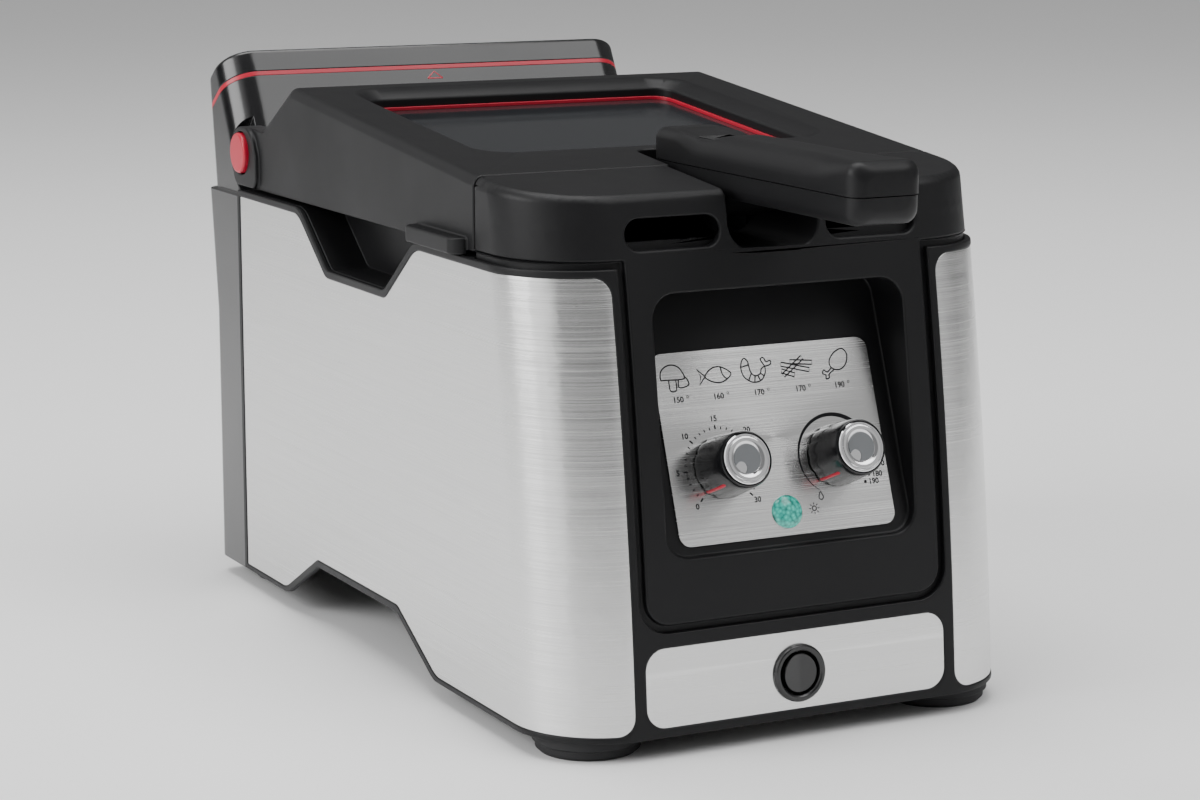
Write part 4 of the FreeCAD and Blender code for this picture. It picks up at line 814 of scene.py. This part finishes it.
def build_marks():
    deck_slope = math.atan(0.1)
    glass_low, glass_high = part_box("window_glass")
    normal = Vector((0, -math.sin(deck_slope), math.cos(deck_slope)))
    mark_front = glass_low[1] + 16 * MM
    place = local_frame((-24 * MM, mark_front, glass_high[2]), normal)
    place = place @ Matrix.Translation((0, 0, top_of("window_glass", place) + 0.05 * MM))
    steam = Solid()
    for offset in (-9, 0, 9):
        wisp = [(offset, -3.2), (offset + 1.6, -1.4), (offset - 0.4, 0.6), (offset + 1.4, 3.0)]
        strokes(steam, [smooth(wisp)], 0.45 * MM)
    strokes(steam, [straight([(-14, -5.2), (14, -5.2)])], 0.45 * MM)
    new_piece("window_mark", steam.mesh("window_mark", place), "red_plastic", "lid")
    # chevron on the tower's leaning front
    front_run = 0.5455
    lean = math.atan(front_run)
    level = 257.0 * MM
    y = 174.5 * MM + front_run * (level - 204.6 * MM)
    place = local_frame((0.0, y, level), (0, -math.cos(lean), math.sin(lean)))
    mark = Solid()
    strokes(mark, [straight([(-4.2, -2.2), (0, 1.6), (4.2, -2.2)])], 0.35 * MM)
    strokes(mark, [straight([(-4.2, -2.2), (4.2, -2.2)])], 0.35 * MM)
    new_piece("tower_mark", mark.mesh("tower_mark", place), "red_plastic", "root")
    # screws of the rear cover
    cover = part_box("rear_cover")
    screws = Solid()
    for x in (cover[0][0] + 7 * MM, cover[1][0] - 7 * MM):
        for z in (cover[0][2] + 7 * MM, cover[1][2] - 7 * MM):
            screw = Solid()
            screw.lathe([(3.1 * MM, -0.4 * MM), (3.1 * MM, 0.2 * MM), (2.5 * MM, 0.75 * MM),
                         (1.1 * MM, 0.95 * MM), (1.0 * MM, 0.3 * MM)], 28)
            place = local_frame((x, cover[1][1], z), (0, 1, 0))
            offset = len(screws.points)
            screws.points.extend(place @ point for point in screw.points)
            screws.faces.extend(tuple(offset + index for index in face) for face in screw.faces)
    new_piece("cover_screws", screws.mesh("cover_screws"), "zinc", "root")


build_marks()

# ---------------------------------------------------------------- stage, lights and camera

CAMERA_YAW = math.radians(27.05)
CAMERA_FALL = math.radians(10.69)
CAMERA_LENS = 91.13


def link_object(name, data):
    thing = bpy.data.objects.new(name, data)
    bpy.context.scene.collection.objects.link(thing)
    return thing


def studio_floor():
    """Round pale floor, and a pale wall round it that only the camera sees."""
    material, shader = new_material("pale_floor", (0.90, 0.90, 0.90), 0.8)
    cloud = stretched_noise(material, 3.0, 2.0)
    link(material, spread(material, cloud, 0.76, 0.84), "Result", shader, "Roughness")
    reach, height, bend = 9.0, 7.0, 3.0
    floor = Solid()
    sides = 96

    def circle(radius, level):
        return [Vector((radius * math.cos(turn), radius * math.sin(turn), level))
                for turn in (2 * math.pi * step / sides for step in range(sides))]

    floor.close(floor.ring(circle(reach - bend, 0.0)))
    disc = link_object("studio_floor", floor.mesh("studio_floor"))
    disc.data.materials.append(material)
    wall = Solid()
    profile = [(reach - bend, 0.0)]
    profile += [(reach - bend + bend * math.sin(turn), bend - bend * math.cos(turn))
                for turn in (math.pi / 2 * step / 16 for step in range(1, 17))] + [(reach, height)]
    rings = [wall.ring(circle(radius, level)) for radius, level in profile]
    for first, second in zip(rings, rings[1:]):
        wall.join(first, second)
    backdrop = link_object("studio_wall", wall.mesh("studio_wall"))
    for polygon in backdrop.data.polygons:
        polygon.use_smooth = True
    glow, glow_shader = new_material("pale_wall", (0.9, 0.9, 0.9), 1.0, Emission_Strength=0.95)
    glow_shader.inputs["Emission Color"].default_value = (0.96, 0.96, 0.97, 1.0)
    backdrop.data.materials.append(glow)
    backdrop.visible_diffuse = False
    backdrop.visible_glossy = False
    backdrop.visible_transmission = False
    backdrop.visible_shadow = False


def soft_light(name, place, aim, size, power):
    data = bpy.data.lights.new(name, "AREA")
    data.shape = "RECTANGLE"
    data.size, data.size_y = size
    data.energy = power
    lamp = link_object(name, data)
    lamp.location = place
    lamp.rotation_euler = (Vector(aim) - Vector(place)).to_track_quat("-Z", "Y").to_euler()


def studio_camera():
    data = bpy.data.cameras.new("camera")
    data.lens = CAMERA_LENS
    data.sensor_width = 36.0
    data.clip_end = 60.0
    camera = link_object("camera", data)
    camera.location = (-0.6467, -1.2535, 0.3841)
    camera.rotation_euler = (math.pi / 2 - CAMERA_FALL, 0.0, -CAMERA_YAW)
    bpy.context.scene.camera = camera


def studio_sky():
    """Soft studio surround: bright and dark upright bands that give the bent steel its shading."""
    bands = ((0.0, 0.30), (0.07, 0.16), (0.24, 0.16), (0.285, 0.95), (0.335, 0.95), (0.355, 0.03),
             (0.435, 0.03), (0.46, 1.75), (0.56, 1.75), (0.62, 0.30), (0.78, 0.24), (0.82, 0.62),
             (0.88, 0.62), (0.94, 0.30))
    world = bpy.data.worlds.new("studio")
    bpy.context.scene.world = world
    world.use_nodes = True
    tree = world.node_tree
    direction = tree.nodes.new("ShaderNodeTexCoord")
    split = tree.nodes.new("ShaderNodeSeparateXYZ")
    tree.links.new(direction.outputs["Generated"], split.inputs["Vector"])
    turn = tree.nodes.new("ShaderNodeMath")
    turn.operation = "ARCTAN2"
    tree.links.new(split.outputs["Y"], turn.inputs[0])
    tree.links.new(split.outputs["X"], turn.inputs[1])
    whole = tree.nodes.new("ShaderNodeMath")
    whole.operation = "MULTIPLY_ADD"
    whole.inputs[1].default_value = 1 / (2 * math.pi)
    whole.inputs[2].default_value = 1.0
    tree.links.new(turn.outputs["Value"], whole.inputs[0])
    share = tree.nodes.new("ShaderNodeMath")
    share.operation = "FRACT"
    tree.links.new(whole.outputs["Value"], share.inputs[0])
    ramp = tree.nodes.new("ShaderNodeValToRGB")
    stops = ramp.color_ramp.elements
    while len(stops) < len(bands):
        stops.new(0.5)
    for stop, (position, level) in zip(stops, bands):
        stop.position = position
        stop.color = (level, level, level, 1.0)
    tree.links.new(share.outputs["Value"], ramp.inputs["Fac"])
    tree.links.new(ramp.outputs["Color"], tree.nodes["Background"].inputs["Color"])
    tree.nodes["Background"].inputs["Strength"].default_value = 0.85


studio_camera()
studio_floor()
studio_sky()
middle = (0.0, 0.0, 0.14)
soft_light("key_left", (-2.4, 0.3, 1.3), middle, (1.5, 1.4), 40.0)
soft_light("front_high", (1.06, -1.25, 2.05), middle, (1.6, 1.4), 20.0)
soft_light("top", (0.0, 0.2, 2.6), middle, (2.2, 2.0), 62.0)
